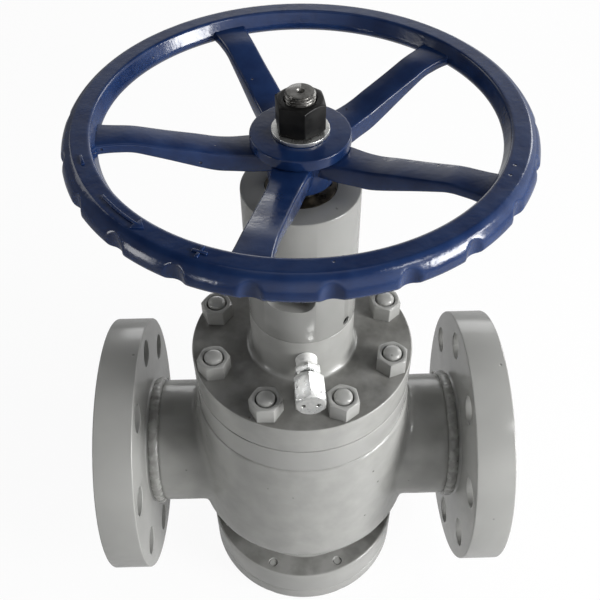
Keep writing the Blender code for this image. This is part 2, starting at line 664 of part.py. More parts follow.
def make_foot():
    spigot = lower_bore_radius - JOINT_GAP
    rim = foot_flange_radius
    top = foot_joint
    profile = [(0.0, top + FOOT_SPIGOT_HEIGHT), (spigot, top + FOOT_SPIGOT_HEIGHT),
               (spigot, top), (rim, top), (rim, EDGE_CHAMFER),
               (rim - EDGE_CHAMFER, 0.0), (0.0, 0.0)]
    cover = turned("foot_cover", profile, "grey_enamel", FINE_STEPS)
    half_step = math.pi / FOOT_SCREW_COUNT
    spots = circle_spots(foot_screw_circle, FOOT_SCREW_COUNT, half_step)
    combine(cover, cylinders("cover_holes", FOOT_SCREW_RADIUS + FOOT_SCREW_CLEARANCE,
                             -BODY_WALL, top + BODY_WALL, spots, HOLE_STEPS))
    sink = FOOT_SCREW_HEAD_RADIUS - FOOT_SCREW_RADIUS
    shape = bmesh.new()
    wide = FOOT_SCREW_HEAD_RADIUS + FOOT_SCREW_CLEARANCE + 2 * JOINT_GAP
    for x, y in spots:
        bmesh.ops.create_cone(shape, cap_ends=True, segments=HOLE_STEPS,
                              radius1=wide + sink, radius2=wide - sink, depth=2 * sink,
                              matrix=Matrix.Translation((x, y, JOINT_GAP)))
    combine(cover, add_object("cover_sinks", mesh_from_bmesh("cover_sinks", shape), None))
    ring("foot_gasket", spigot + 2 * JOINT_GAP, foot_gasket_radius,
         top + JOINT_GAP, top + FOOT_GASKET_THICKNESS, "graphite", FINE_STEPS)
    head_bottom = JOINT_GAP
    screw_top = foot_flange_top - FOOT_SCREW_SHORT_OF_TOP
    screw = [(0.0, screw_top), (FOOT_SCREW_RADIUS - JOINT_GAP * 2, screw_top),
             (FOOT_SCREW_RADIUS, screw_top - JOINT_GAP * 2),
             (FOOT_SCREW_RADIUS, head_bottom + sink), (FOOT_SCREW_HEAD_RADIUS, head_bottom),
             (0.0, head_bottom)]
    pattern = turned("foot_screw", screw, "black_oxide", TINY_STEPS)
    combine(pattern, hexagon("screw_socket", FOOT_SCREW_SOCKET, -sink, head_bottom + sink))
    names = [f"foot_screw_{k + 1}" for k in range(FOOT_SCREW_COUNT)]
    repeat_around(pattern, names, "black_oxide", foot_screw_circle, half_step)


# Bonnet with its stuffing box, and the studs and nuts that hold it down

def bonnet_profile():
    bush_bore = backseat_bore_radius
    bush_top = spigot_bottom + BACKSEAT_BUSH_LENGTH + JOINT_GAP
    shaft = STEM_RADIUS + STEM_CLEARANCE + JOINT_GAP
    thread_bottom = gland_nut_bottom - GLAND_NUT_THREAD_RUN_OUT
    thread = gland_thread_radius + THREAD_CLEARANCE
    spigot = chamber_radius - JOINT_GAP
    rim = body_flange_radius
    neck = bonnet_neck_radius
    fillet = BONNET_NECK_FILLET
    top = bonnet_flange_top
    corner = arc(neck + fillet, top + fillet, fillet, 180, 270, 3)
    outside = [(thread, boss_top), (boss_radius, boss_top),
               (boss_radius, neck_top), (neck - EDGE_CHAMFER / 2, neck_top),
               (neck, neck_top - EDGE_CHAMFER / 2)] + corner
    outside += [(rim - EDGE_CHAMFER, top), (rim, top - EDGE_CHAMFER), (rim, bonnet_bottom),
                (spigot, bonnet_bottom), (spigot, spigot_bottom), (bush_bore, spigot_bottom)]
    inside = [(bush_bore, bush_top), (shaft, bush_top), (shaft, packing_floor),
              (packing_box_radius, packing_floor), (packing_box_radius, thread_bottom),
              (thread, thread_bottom)]
    return outside + inside


def make_bonnet():
    bonnet = turned("bonnet", bonnet_profile(), "grey_enamel", FINE_STEPS, closed=True)
    half_step = math.pi / STUD_COUNT
    spots = circle_spots(stud_circle, STUD_COUNT, half_step)
    combine(bonnet, cylinders("bonnet_holes", stud_hole_radius,
                              bonnet_bottom - BODY_WALL, bonnet_flange_top + BODY_WALL,
                              spots, TINY_STEPS))
    combine(bonnet, cylinders("fitting_hole", FITTING_THREAD_RADIUS + THREAD_CLEARANCE,
                              packing_box_radius - JOINT_GAP, bonnet_neck_radius + BODY_WALL,
                              [(0, 0)], SMALL_STEPS,
                              out_from_axis(FITTING_TURN, fitting_height)))
    ring("bonnet_gasket", chamber_radius + JOINT_GAP, bonnet_gasket_radius,
         body_top - BONNET_GASKET_THICKNESS + JOINT_GAP, body_top, "graphite", FINE_STEPS)


def chamfered_nut(name, across_flats, bottom, top, bore, material, steps, shank=None):
    """A hexagon with its top corners turned off, and a plain bore through it and its shank."""
    nut = hexagon(name, across_flats, bottom, top, 0.0, material)
    corner = across_flats / 2 / math.cos(math.pi / 6)
    flat = across_flats / 2 * 0.95
    fall = (corner - flat) * math.tan(math.radians(30))
    low = bottom - fall
    turning = [(0.0, top), (flat, top), (corner, top - fall), (corner, low), (0.0, low)]
    combine(nut, turned(name + "_turning", turning, None, SMALL_STEPS), "INTERSECT")
    if shank is not None:
        combine(nut, shank, "UNION")
    combine(nut, cylinders(name + "_bore", bore, bottom - STUD_DEPTH_IN_BODY,
                           top + BODY_WALL, [(0, 0)], steps))
    return nut


def make_studs():
    half_step = math.pi / STUD_COUNT
    bottom = body_top - STUD_DEPTH_IN_BODY
    top = bonnet_flange_top + STUD_STAND_OUT
    shoulder = top - STUD_DOME
    crown = STUD_RADIUS * 0.88
    stud = [(0.0, top), (crown * 0.6, top - STUD_DOME * 0.3), (STUD_RADIUS, shoulder),
            (STUD_RADIUS, bottom), (0.0, bottom)]
    names = [f"bonnet_stud_{k + 1}" for k in range(STUD_COUNT)]
    repeat_around(turned("stud", stud, "grey_enamel", SMALL_STEPS), names, "grey_enamel",
                  stud_circle, half_step)
    nut_bottom = bonnet_flange_top + JOINT_GAP
    nut = chamfered_nut("nut", NUT_ACROSS_FLATS, nut_bottom, nut_bottom + NUT_HEIGHT,
                        STUD_RADIUS + STUD_CLEARANCE, "grey_enamel", SMALL_STEPS)
    names = [f"bonnet_nut_{k + 1}" for k in range(STUD_COUNT)]
    repeat_around(nut, names, "grey_enamel", stud_circle, half_step)


# Stuffing box contents, from the bush in the bonnet's underside up to the gland nut

def make_packing():
    shaft = STEM_RADIUS + STEM_CLEARANCE
    wall = packing_box_radius - PACKING_FIT
    ring("backseat_bush", shaft, backseat_bore_radius - PACKING_FIT, spigot_bottom,
         spigot_bottom + BACKSEAT_BUSH_LENGTH, "hard_steel", RING_STEPS)
    level = packing_floor + JOINT_GAP
    ring("packing_washer", shaft, wall, level, level + PACKING_WASHER_HEIGHT, "stainless",
         RING_STEPS)
    level += PACKING_WASHER_HEIGHT + JOINT_GAP
    for number in range(1, packing_rings + 1):
        if number == PACKING_RINGS_BELOW + 1:
            level = make_lantern(level, shaft, wall)
        ring(f"packing_ring_{number}", shaft, wall, level, level + PACKING_RING_HEIGHT,
             "graphite", RING_STEPS)
        level += PACKING_RING_HEIGHT + JOINT_GAP
    ring("gland", shaft, wall, level, level + GLAND_HEIGHT, "stainless", RING_STEPS)
    make_gland_nut(shaft)


def make_lantern(level, shaft, wall):
    """A ring with a groove inside and out, joined by cross holes for the grease."""
    top = level + LANTERN_HEIGHT
    land = LANTERN_HEIGHT * 0.28
    groove = (wall - shaft) * 0.22
    profile = [(shaft, top), (wall, top), (wall, top - land), (wall - groove, top - land),
               (wall - groove, level + land), (wall, level + land), (wall, level),
               (shaft, level), (shaft, level + land), (shaft + groove, level + land),
               (shaft + groove, top - land), (shaft, top - land)]
    lantern = turned("lantern_ring", profile, "stainless", RING_STEPS, closed=True)
    middle = (level + top) / 2
    place = out_from_axis(FITTING_TURN, middle)
    combine(lantern, cylinders("lantern_hole", FITTING_BORE_RADIUS, -packing_box_radius,
                               packing_box_radius, [(0, 0)], TINY_STEPS, place))
    return top + JOINT_GAP


def make_gland_nut(shaft):
    head_bottom = boss_top + JOINT_GAP
    head_top = head_bottom + GLAND_NUT_HEAD_HEIGHT
    lap = head_bottom + EDGE_CHAMFER
    thread = [(0.0, lap), (gland_thread_radius, lap),
              (gland_thread_radius, gland_nut_bottom), (0.0, gland_nut_bottom)]
    shank = turned("gland_thread", thread, None, MEDIUM_STEPS)
    chamfered_nut("gland_nut", gland_nut_flats, head_bottom, head_top, shaft,
                  "zinc_plate", MEDIUM_STEPS, shank)


# Trim inside the body: seat ring, cage and plug

def make_seat():
    guide = seat_hole_radius - JOINT_GAP
    port = SEAT_PORT_RADIUS
    outer = cage_outer_radius
    bottom = web_bottom + EDGE_CHAMFER
    profile = [(port + SEAT_BEVEL, seat_top), (outer, seat_top), (outer, seat_flange_bottom),
               (guide, seat_flange_bottom), (guide, bottom), (port, bottom),
               (port, seat_top - SEAT_BEVEL)]
    turned("seat_ring", profile, "hard_steel", MEDIUM_STEPS, closed=True)
    ring("seat_gasket", seat_hole_radius + JOINT_GAP, outer, seat_gasket_bottom,
         seat_gasket_bottom + SEAT_GASKET_THICKNESS, "graphite", MEDIUM_STEPS)


def make_cage():
    outer = cage_outer_radius
    collar = chamber_radius - JOINT_GAP
    collar_low = cage_top - CAGE_COLLAR_HEIGHT
    profile = [(cage_bore, cage_top), (collar, cage_top), (collar, collar_low),
               (outer, collar_low), (outer, cage_bottom), (cage_bore, cage_bottom)]
    cage = turned("throttle_cage", profile, "stainless", MEDIUM_STEPS, closed=True)
    half = CAGE_PORT_WIDTH / 2
    tall = CAGE_PORT_HEIGHT
    taper = half * 0.45
    outline = [(-taper, 0.0), (taper, 0.0), (half, tall * 0.55)]
    outline += [(half * math.cos(math.radians(a)), tall * 0.55 + tall * 0.45 * math.sin(math.radians(a)))
                for a in range(30, 180, 30)]
    outline += [(-half, tall * 0.55)]
    for k in range(CAGE_PORTS):
        turn = Matrix.Rotation(math.tau * k / CAGE_PORTS, 4, "Z")
        middle = (cage_bore + outer) / 2
        place = turn @ Matrix.Translation((middle, 0, cage_bottom + CAGE_PORT_BOTTOM)) \
            @ Matrix.Rotation(math.pi / 2, 4, "Z") @ Matrix.Rotation(math.pi / 2, 4, "X")
        combine(cage, slab(f"cage_port_{k + 1}", outline, CAGE_WALL, place=place))


def make_plug():
    skirt = SEAT_PORT_RADIUS - PLUG_CLEARANCE
    skirt_bottom = plug_bottom - PLUG_SKIRT_LENGTH
    seat = SEAT_BEVEL - PLUG_CLEARANCE
    seal_top = plug_bottom + PLUG_HEAD_HEIGHT * 0.62
    seal_bottom = seal_top - PLUG_SEAL_HEIGHT - 2 * JOINT_GAP
    groove = plug_radius - PLUG_SEAL_DEPTH
    thread = lock_nut_radius + THREAD_CLEARANCE
    head_room = stem_head_radius + THREAD_CLEARANCE
    pocket = stem_head_bottom - JOINT_GAP
    nut_floor = lock_nut_bottom - JOINT_GAP / 2
    hollow = skirt - PLUG_SKIRT_WALL
    profile = [(thread, plug_top), (plug_radius - EDGE_CHAMFER, plug_top),
               (plug_radius, plug_top - EDGE_CHAMFER), (plug_radius, seal_top),
               (groove, seal_top), (groove, seal_bottom), (plug_radius, seal_bottom),
               (plug_radius, plug_bottom + EDGE_CHAMFER), (plug_radius - EDGE_CHAMFER, plug_bottom),
               (skirt + seat, plug_bottom), (skirt, plug_bottom - seat),
               (skirt, skirt_bottom), (hollow, skirt_bottom), (hollow, plug_bottom),
               (0.0, plug_bottom)]
    top = [(0.0, pocket), (head_room, pocket), (head_room, nut_floor), (thread, nut_floor)]
    plug = turned("plug", top + profile, "stainless", MEDIUM_STEPS)
    half = PLUG_NOTCH_WIDTH / 2
    high = plug_bottom - SEAT_BEVEL - 2 * EDGE_CHAMFER
    deep = skirt_bottom - BODY_WALL
    outline = [(0.0, high), (-half, deep), (half, deep)]
    for k in range(PLUG_NOTCHES):
        turn = Matrix.Rotation(math.tau * (k + 0.5) / PLUG_NOTCHES, 4, "Z")
        place = turn @ Matrix.Translation((skirt, 0, 0)) \
            @ Matrix.Rotation(math.pi / 2, 4, "Z") @ Matrix.Rotation(math.pi / 2, 4, "X")
        combine(plug, slab(f"plug_notch_{k + 1}", outline, PLUG_SKIRT_WALL * 2, place=place))
    ring("plug_seal", groove + JOINT_GAP / 2, plug_radius,
         seal_bottom + JOINT_GAP, seal_top - JOINT_GAP, "ptfe", MEDIUM_STEPS)
    make_lock_nut()


def make_lock_nut():
    """Holds the stem's button head in the plug, and lets the stem turn."""
    spindle = spindle_radius + THREAD_CLEARANCE
    head_bottom = plug_top + JOINT_GAP
    head_top = head_bottom + LOCK_NUT_HEAD_HEIGHT
    nut = hexagon("plug_lock_nut", lock_nut_flats, head_bottom, head_top, 0.0, "hard_steel")
    lap = head_bottom + EDGE_CHAMFER
    shank = [(0.0, lap), (lock_nut_radius, lap), (lock_nut_radius, lock_nut_bottom),
             (0.0, lock_nut_bottom)]
    combine(nut, turned("lock_nut_shank", shank, None, MEDIUM_STEPS), "UNION")
    combine(nut, cylinders("lock_nut_bore", spindle, lock_nut_bottom - BODY_WALL,
                           head_top + BODY_WALL, [(0, 0)], MEDIUM_STEPS))


# Stem, from its button head in the plug to the threaded end above the wheel nut

def make_stem():
    square_bottom = hub_bottom - JOINT_GAP
    square_top = hub_top - EDGE_CHAMFER
    end = stem_end_radius
    spindle = spindle_radius
    cone = STEM_CENTRE_RADIUS
    profile = [(0.0, stem_top - STEM_CENTRE_DEPTH), (cone, stem_top),
               (end - EDGE_CHAMFER, stem_top), (end, stem_top - EDGE_CHAMFER),
               (end, square_top), (STEM_RADIUS, square_top), (STEM_RADIUS, collar_top),
               (stem_collar_radius, collar_top), (stem_collar_radius, collar_bottom),
               (spindle, collar_bottom), (spindle, stem_head_top),
               (stem_head_radius, stem_head_top), (stem_head_radius, stem_head_bottom),
               (0.0, stem_head_bottom)]
    stem = turned("stem", profile, "stainless", MEDIUM_STEPS)
    half = stem_square / 2
    wide = STEM_RADIUS * 2
    for k in range(4):
        turn = Matrix.Rotation(math.pi / 2 * k, 4, "Z")
        flat = box(f"stem_flat_{k + 1}", (half, -wide, square_bottom), (wide, wide, square_top),
                   place=turn)
        combine(stem, flat)


# Yoke tube screwed over the bonnet boss, with two windows and the threaded nut in its head

def make_yoke():
    bore = yoke_radius - YOKE_WALL
    nut_hole = yoke_nut_radius + JOINT_GAP
    recess = yoke_nut_flange_radius + JOINT_GAP
    recess_floor = yoke_top - YOKE_NUT_FLANGE_HEIGHT - JOINT_GAP
    profile = [(recess, yoke_top), (yoke_radius - EDGE_CHAMFER / 2, yoke_top),
               (yoke_radius, yoke_top - EDGE_CHAMFER / 2), (yoke_radius, yoke_bottom + EDGE_CHAMFER / 2),
               (yoke_radius - EDGE_CHAMFER / 2, yoke_bottom), (bore, yoke_bottom),
               (bore, yoke_head_bottom), (nut_hole, yoke_head_bottom), (nut_hole, recess_floor),
               (recess, recess_floor)]
    yoke = turned("yoke", profile, "grey_enamel", FINE_STEPS, closed=True)
    for k in range(2):
        turn = YOKE_WINDOW_TURN + 180 * k
        combine(yoke, window_cutter(f"yoke_window_{k + 1}", turn))
    screw_height = yoke_bottom + LOCK_SCREW_HEIGHT
    place = out_from_axis(LOCK_SCREW_TURN, screw_height)
    combine(yoke, cylinders("lock_screw_hole", LOCK_SCREW_RADIUS + THREAD_CLEARANCE,
                            bore - YOKE_WALL / 2, yoke_radius + YOKE_WALL, [(0, 0)],
                            SMALL_STEPS, place))
    tip = boss_radius + JOINT_GAP
    outer = yoke_radius - EDGE_CHAMFER
    screw_profile = [(0.0, outer), (LOCK_SCREW_RADIUS, outer),
                     (LOCK_SCREW_RADIUS, tip + EDGE_CHAMFER),
                     (LOCK_SCREW_RADIUS - EDGE_CHAMFER, tip), (0.0, tip)]
    screw = turned("yoke_lock_screw", screw_profile, "black_oxide", SMALL_STEPS, place=place)
    socket = hexagon("lock_screw_socket", LOCK_SCREW_SOCKET, outer - LOCK_SCREW_SOCKET,
                     outer + YOKE_WALL)
    socket.matrix_world = place
    combine(screw, socket)
    make_yoke_nut()


def window_cutter(name, turn):
    """A round cornered window, cut straight in towards the axis."""
    half = YOKE_WINDOW_WIDTH / 2
    sill = yoke_bottom + YOKE_WINDOW_SILL
    head = sill + YOKE_WINDOW_HEIGHT
    corner = YOKE_WINDOW_CORNER
    outline = []
    for x, y, start in ((half - corner, head - corner, 0), (corner - half, head - corner, 90),
                        (corner - half, sill + corner, 180), (half - corner, sill + corner, 270)):
        outline += arc(x, y, corner, start, start + 90, 3)
    middle = yoke_radius - YOKE_WALL / 2
    place = Matrix.Rotation(math.radians(turn), 4, "Z") @ Matrix.Translation((middle, 0, 0)) \
        @ Matrix.Rotation(math.pi / 2, 4, "Z") @ Matrix.Rotation(math.pi / 2, 4, "X")
    return slab(name, outline, YOKE_WALL * 1.5, place=place)


def make_yoke_nut():
    """Bronze nut that carries the stem's thread; two spanner holes in its face."""
    bore = STEM_RADIUS + STEM_CLEARANCE
    flange_bottom = yoke_top - YOKE_NUT_FLANGE_HEIGHT
    profile = [(bore, yoke_top), (yoke_nut_flange_radius, yoke_top),
               (yoke_nut_flange_radius, flange_bottom), (yoke_nut_radius, flange_bottom),
               (yoke_nut_radius, yoke_nut_bottom), (bore, yoke_nut_bottom)]
    nut = turned("yoke_nut", profile, "bronze", MEDIUM_STEPS, closed=True)
    circle = (bore + yoke_nut_flange_radius) / 2
    combine(nut, cylinders("spanner_holes", SPANNER_HOLE_RADIUS,
                           yoke_top - YOKE_NUT_FLANGE_HEIGHT * 0.7, yoke_top + BODY_WALL,
                           circle_spots(circle, 2, 0.0), TINY_STEPS))


# Handwheel with its washer and nut

def spoke_height(radius):
    """The spoke's top face: level at the hub, an easy rise, then level at the rim."""
    low = hub_top - HUB_DISC_HEIGHT - EDGE_CHAMFER
    high = rim_top - SPOKE_TIP_BELOW_RIM
    share = (radius - spoke_bend_start) / (spoke_bend_end - spoke_bend_start)
    share = min(max(share, 0.0), 1.0)
    return low + (high - low) * share * share * (3 - 2 * share)


def spoke_outline():
    inner = hub_boss_radius * 0.7
    outer = RIM_OUTER_RADIUS - RIM_WIDTH / 2
    steps = ARC_STEPS
    bend = [spoke_bend_start + (spoke_bend_end - spoke_bend_start) * k / steps
            for k in range(steps + 1)]
    reaches = [inner] + bend + [outer]
    top = [(r, spoke_height(r)) for r in reaches]
    bottom = []
    for r in reversed(reaches):
        share = min(max((r - spoke_bend_start) / (spoke_bend_end - spoke_bend_start), 0), 1)
        depth = SPOKE_ROOT_DEPTH + (SPOKE_TIP_DEPTH - SPOKE_ROOT_DEPTH) * share
        bottom.append((r, spoke_height(r) - depth))
    return top + bottom


def rim_profile():
    """A flat topped rim with slanted inner and rounded outer sides."""
    inner = RIM_OUTER_RADIUS - RIM_WIDTH
    outer = RIM_OUTER_RADIUS
    bottom = rim_top - RIM_HEIGHT
    slant = RIM_WIDTH * 0.17
    shoulder = RIM_WIDTH * 0.33
    return [(inner + slant, rim_top), (outer - shoulder, rim_top),
            (outer - shoulder * 0.45, rim_top - RIM_HEIGHT * 0.14),
            (outer - shoulder * 0.12, rim_top - RIM_HEIGHT * 0.4),
            (outer, rim_top - RIM_HEIGHT * 0.7), (outer - shoulder * 0.2, bottom),
            (inner + slant * 0.8, bottom), (inner, bottom + RIM_HEIGHT * 0.3)]


def hub_profile():
    lower = hub_top - HUB_DISC_HEIGHT
    disc = hub_disc_radius
    boss = hub_boss_radius
    return [(0.0, hub_top), (disc - EDGE_CHAMFER, hub_top), (disc, hub_top - EDGE_CHAMFER),
            (disc, lower), (boss + EDGE_CHAMFER, lower - EDGE_CHAMFER),
            (boss, lower - 2 * EDGE_CHAMFER), (boss, hub_bottom + EDGE_CHAMFER),
            (boss - EDGE_CHAMFER, hub_bottom), (0.0, hub_bottom)]


def notch_cutter():
    """Round bites in the lower outer edge of the rim, for the fingers."""
    shape = bmesh.new()
    reach = RIM_OUTER_RADIUS + RIM_NOTCH_RADIUS - RIM_NOTCH_DEPTH
    height = rim_top - RIM_HEIGHT
    start = math.radians(RIM_NOTCH_TURN)
    for x, y in circle_spots(reach, RIM_NOTCHES, start):
        bmesh.ops.create_uvsphere(shape, u_segments=6, v_segments=4, radius=RIM_NOTCH_RADIUS,
                                  matrix=Matrix.Translation((x, y, height)))
    return add_object("rim_notches", mesh_from_bmesh("rim_notches", shape), None)


def make_handwheel():
    wheel = turned("handwheel", rim_profile(), "blue_enamel", RIM_STEPS, closed=True)
    combine(wheel, notch_cutter())
    combine(wheel, turned("hub", hub_profile(), None, MEDIUM_STEPS), "UNION")
    for k in range(SPOKES):
        turn = Matrix.Rotation(math.radians(SPOKE_TURN) + math.tau * k / SPOKES, 4, "Z")
        place = turn @ Matrix.Rotation(math.pi / 2, 4, "X")
        spoke = slab(f"spoke_{k + 1}", spoke_outline(), SPOKE_WIDTH / 2, place=place)
        combine(wheel, spoke, "UNION")
    half = stem_square / 2 + JOINT_GAP
    combine(wheel, box("hub_square", (-half, -half, hub_bottom - BODY_WALL),
                       (half, half, hub_top + BODY_WALL)))
    bore = stem_end_radius + THREAD_CLEARANCE
    ring("wheel_washer", bore, wheel_washer_radius, washer_bottom,
         washer_bottom + WHEEL_WASHER_THICKNESS, "zinc_plate", MEDIUM_STEPS)
    chamfered_nut("wheel_nut", wheel_nut_flats, wheel_nut_bottom,
                  wheel_nut_bottom + WHEEL_NUT_HEIGHT, bore, "black_oxide", MEDIUM_STEPS)


# Grease fitting: threaded nipple wrapped in tape, and its vented hexagon cap

def make_fitting():
    place = out_from_axis(FITTING_TURN, fitting_height)
    start = bonnet_neck_radius + JOINT_GAP
    tape_end = start + FITTING_TAPE_LENGTH
    hex_start = tape_end + JOINT_GAP
    hex_end = hex_start + FITTING_HEX_LENGTH
    cap_start = hex_end + JOINT_GAP
    cap_end = cap_start + FITTING_CAP_LENGTH
    thread = FITTING_THREAD_RADIUS
    tape = [(thread + JOINT_GAP / 2, tape_end), (tape_radius - EDGE_CHAMFER / 2, tape_end),
            (tape_radius, tape_end - EDGE_CHAMFER), (tape_radius, start),
            (thread + JOINT_GAP / 2, start)]
    turned("fitting_tape", tape, "ptfe", SMALL_STEPS, closed=True, place=place)
    tip = cap_end - FITTING_CAP_WALL - 2 * JOINT_GAP
    inner = packing_box_radius + JOINT_GAP
    nipple = hexagon("fitting_nipple", FITTING_HEX, hex_start, hex_end, math.pi / 6, "zinc_plate")
    shank = [(0.0, tip), (thread, tip), (thread, inner), (0.0, inner)]
    combine(nipple, turned("nipple_shank", shank, None, SMALL_STEPS), "UNION")
    combine(nipple, cylinders("nipple_bore", FITTING_BORE_RADIUS, inner - BODY_WALL,
                              tip + BODY_WALL, [(0, 0)], TINY_STEPS))
    nipple.matrix_world = place
    for name in ("nipple_shank", "nipple_bore"):
        bpy.data.objects[name].matrix_world = place
    cap = hexagon("fitting_cap", FITTING_CAP_HEX, cap_start, cap_end, math.pi / 6, "zinc_plate")
    corner = FITTING_CAP_HEX / 2 / math.cos(math.pi / 6)
    face = FITTING_CAP_HEX / 2
    turning = [(0.0, cap_end), (face - EDGE_CHAMFER / 2, cap_end), (corner, cap_end - EDGE_CHAMFER * 1.6),
               (corner, cap_start + EDGE_CHAMFER * 2), (face - EDGE_CHAMFER, cap_start),
               (0.0, cap_start)]
    combine(cap, turned("cap_turning", turning, None, MEDIUM_STEPS), "INTERSECT")
    combine(cap, cylinders("cap_bore", thread + THREAD_CLEARANCE, cap_start - BODY_WALL,
                           cap_end - FITTING_CAP_WALL, [(0, 0)], SMALL_STEPS))
    spots = circle_spots(FITTING_CAP_HOLE_SPACING / 2, 2, math.radians(60))
    combine(cap, cylinders("cap_holes", FITTING_CAP_HOLE_RADIUS,
                           cap_end - FITTING_CAP_WALL * 1.5, cap_end + FITTING_CAP_WALL,
                           spots, TINY_STEPS))
    for name in ("fitting_cap", "cap_turning", "cap_bore", "cap_holes"):
        bpy.data.objects[name].matrix_world = place


def smooth_round_faces():
    for piece in valve.objects:
        piece.data.shade_smooth()
        piece.data.set_sharp_from_angle(angle=math.radians(32))


def main():
    make_body()
    make_flange("inlet_flange", -1)
    make_flange("outlet_flange", 1)
    make_weld("inlet_weld", -1)
    make_weld("outlet_weld", 1)
    make_foot()
    make_bonnet()
    make_studs()
    make_packing()
    make_seat()
    make_cage()
    make_plug()
    make_stem()
    make_yoke()
    make_handwheel()
    make_fitting()
    smooth_round_faces()


main()
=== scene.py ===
import math

import bmesh
import bpy
from mathutils import Matrix, Vector, noise


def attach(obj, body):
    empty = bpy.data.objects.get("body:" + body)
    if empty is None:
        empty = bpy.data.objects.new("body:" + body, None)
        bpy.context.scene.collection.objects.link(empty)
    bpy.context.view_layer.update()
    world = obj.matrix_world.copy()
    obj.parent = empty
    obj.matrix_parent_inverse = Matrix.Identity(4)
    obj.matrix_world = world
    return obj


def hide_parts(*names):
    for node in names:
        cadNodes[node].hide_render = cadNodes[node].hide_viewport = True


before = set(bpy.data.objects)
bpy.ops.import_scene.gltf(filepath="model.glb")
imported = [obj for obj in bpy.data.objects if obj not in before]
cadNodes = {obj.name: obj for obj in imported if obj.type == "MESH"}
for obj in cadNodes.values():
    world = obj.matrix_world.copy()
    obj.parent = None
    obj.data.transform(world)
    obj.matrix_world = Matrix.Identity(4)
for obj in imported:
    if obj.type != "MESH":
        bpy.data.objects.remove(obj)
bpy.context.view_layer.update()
mm = 0.001
axisHeight = 140.7   # the pipe axis above the floor, mm; every height below is from this axis
rootBody, stemBody = "valve_body", "stem_and_wheel"
print("frame loaded:", len(cadNodes), "nodes")


# moves and turns

def shift(x, y, z):
    # a move in mm
    return Matrix.Translation((x * mm, y * mm, z * mm))


def swing(turn):
    # a turn about the stem, in degrees
    return Matrix.Rotation(math.radians(turn), 4, "Z")


# node kit

class NodeKit:
    # short calls to add nodes and join them in one tree
    def __init__(self, tree):
        self.tree = tree

    def add(self, kind, **sockets):
        node = self.tree.nodes.new("ShaderNode" + kind)
        for key, value in sockets.items():
            name = key.replace("_", " ")
            if hasattr(node, key) and not isinstance(value, bpy.types.NodeSocket) \
                    and key not in node.inputs:
                setattr(node, key, value)
            elif isinstance(value, bpy.types.NodeSocket):
                self.tree.links.new(value, node.inputs[name])
            else:
                node.inputs[name].default_value = value
        return node

    def math(self, operation, first, second=0.5, third=None):
        node = self.tree.nodes.new("ShaderNodeMath")
        node.operation = operation
        for index, value in enumerate((first, second, third)):
            if value is None:
                continue
            if isinstance(value, bpy.types.NodeSocket):
                self.tree.links.new(value, node.inputs[index])
            else:
                node.inputs[index].default_value = value
        return node.outputs[0]

    def ramp(self, value, low, high, outLow=0.0, outHigh=1.0):
        node = self.tree.nodes.new("ShaderNodeMapRange")
        self.tree.links.new(value, node.inputs["Value"])
        for name, number in (("From Min", low), ("From Max", high), ("To Min", outLow), ("To Max", outHigh)):
            node.inputs[name].default_value = number
        return node.outputs["Result"]

    def mix(self, factor, first, second):
        node = self.tree.nodes.new("ShaderNodeMix")
        node.data_type = "RGBA"
        self.tree.links.new(factor, node.inputs["Factor"])
        for socket, value in ((node.inputs[6], first), (node.inputs[7], second)):
            if isinstance(value, bpy.types.NodeSocket):
                self.tree.links.new(value, socket)
            else:
                socket.default_value = (*value, 1)
        return node.outputs[2]

    def blend(self, factor, first, second):
        # mixes two shader nodes
        node = self.tree.nodes.new("ShaderNodeMixShader")
        self.tree.links.new(factor, node.inputs["Fac"])
        self.tree.links.new(first.outputs[0], node.inputs[1])
        self.tree.links.new(second.outputs[0], node.inputs[2])
        return node


# camera and light

cameraFit = {
    "place": (-8.6, -395.7, 736.3),
    "azimuth": -1.063,
    "elevation": 46.92,
    "roll": -0.555,
    "lens": 48.71,
}


def addCamera(fit):
    turn, rise, roll = (math.radians(fit[key]) for key in ("azimuth", "elevation", "roll"))
    back = Vector((math.sin(turn) * math.cos(rise), -math.cos(turn) * math.cos(rise), math.sin(rise)))
    right = Vector((math.cos(turn), math.sin(turn), 0))
    up = back.cross(right)
    camX = right * math.cos(roll) + up * math.sin(roll)
    camY = up * math.cos(roll) - right * math.sin(roll)
    data = bpy.data.cameras.new("photoCamera")
    data.lens = fit["lens"]
    data.sensor_width = 36
    data.clip_start = 0.01
    cam = bpy.data.objects.new("photoCamera", data)
    bpy.context.scene.collection.objects.link(cam)
    place = Matrix((camX, camY, back)).transposed().to_4x4()
    place.translation = Vector(fit["place"]) * mm
    cam.matrix_world = place
    bpy.context.scene.camera = cam


studioLights = [
    # name, place in metres, aim, width, height, watts
    ("rightSoftbox", (1.36, -0.67, 0.70), (0, 0, 0.22), 0.6, 0.6, 30.5),
    ("rightRimSpot", (1.50, -0.25, 1.10), (0, 0, 0.30), 0.18, 0.18, 3.0),
    ("rightHighLamp", (0.921, -0.773, 1.452), (0, 0, 0.25), 0.3, 0.3, 3.2),
    ("rightBackLamp", (1.102, 1.102, 1.15), (0, 0, 0.25), 0.5, 0.5, 5.0),
    ("leftLamp", (-1.50, -0.55, 0.36), (0, 0, 0.25), 0.4, 0.5, 3.8),
    ("leftBackLamp", (-1.15, 0.90, 1.35), (0, 0, 0.25), 0.7, 0.7, 2.6),
    ("leftLowSpot", (-1.00, -1.20, 0.40), (0, 0, 0.18), 0.14, 0.14, 1.2),
    ("backFill", (0.1, 1.65, 0.50), (0, 0, 0.2), 1.2, 0.6, 4.2),
    ("topFill", (0.0, -0.06, 2.05), (0, 0, 0.25), 1.0, 1.0, 1.4),
]


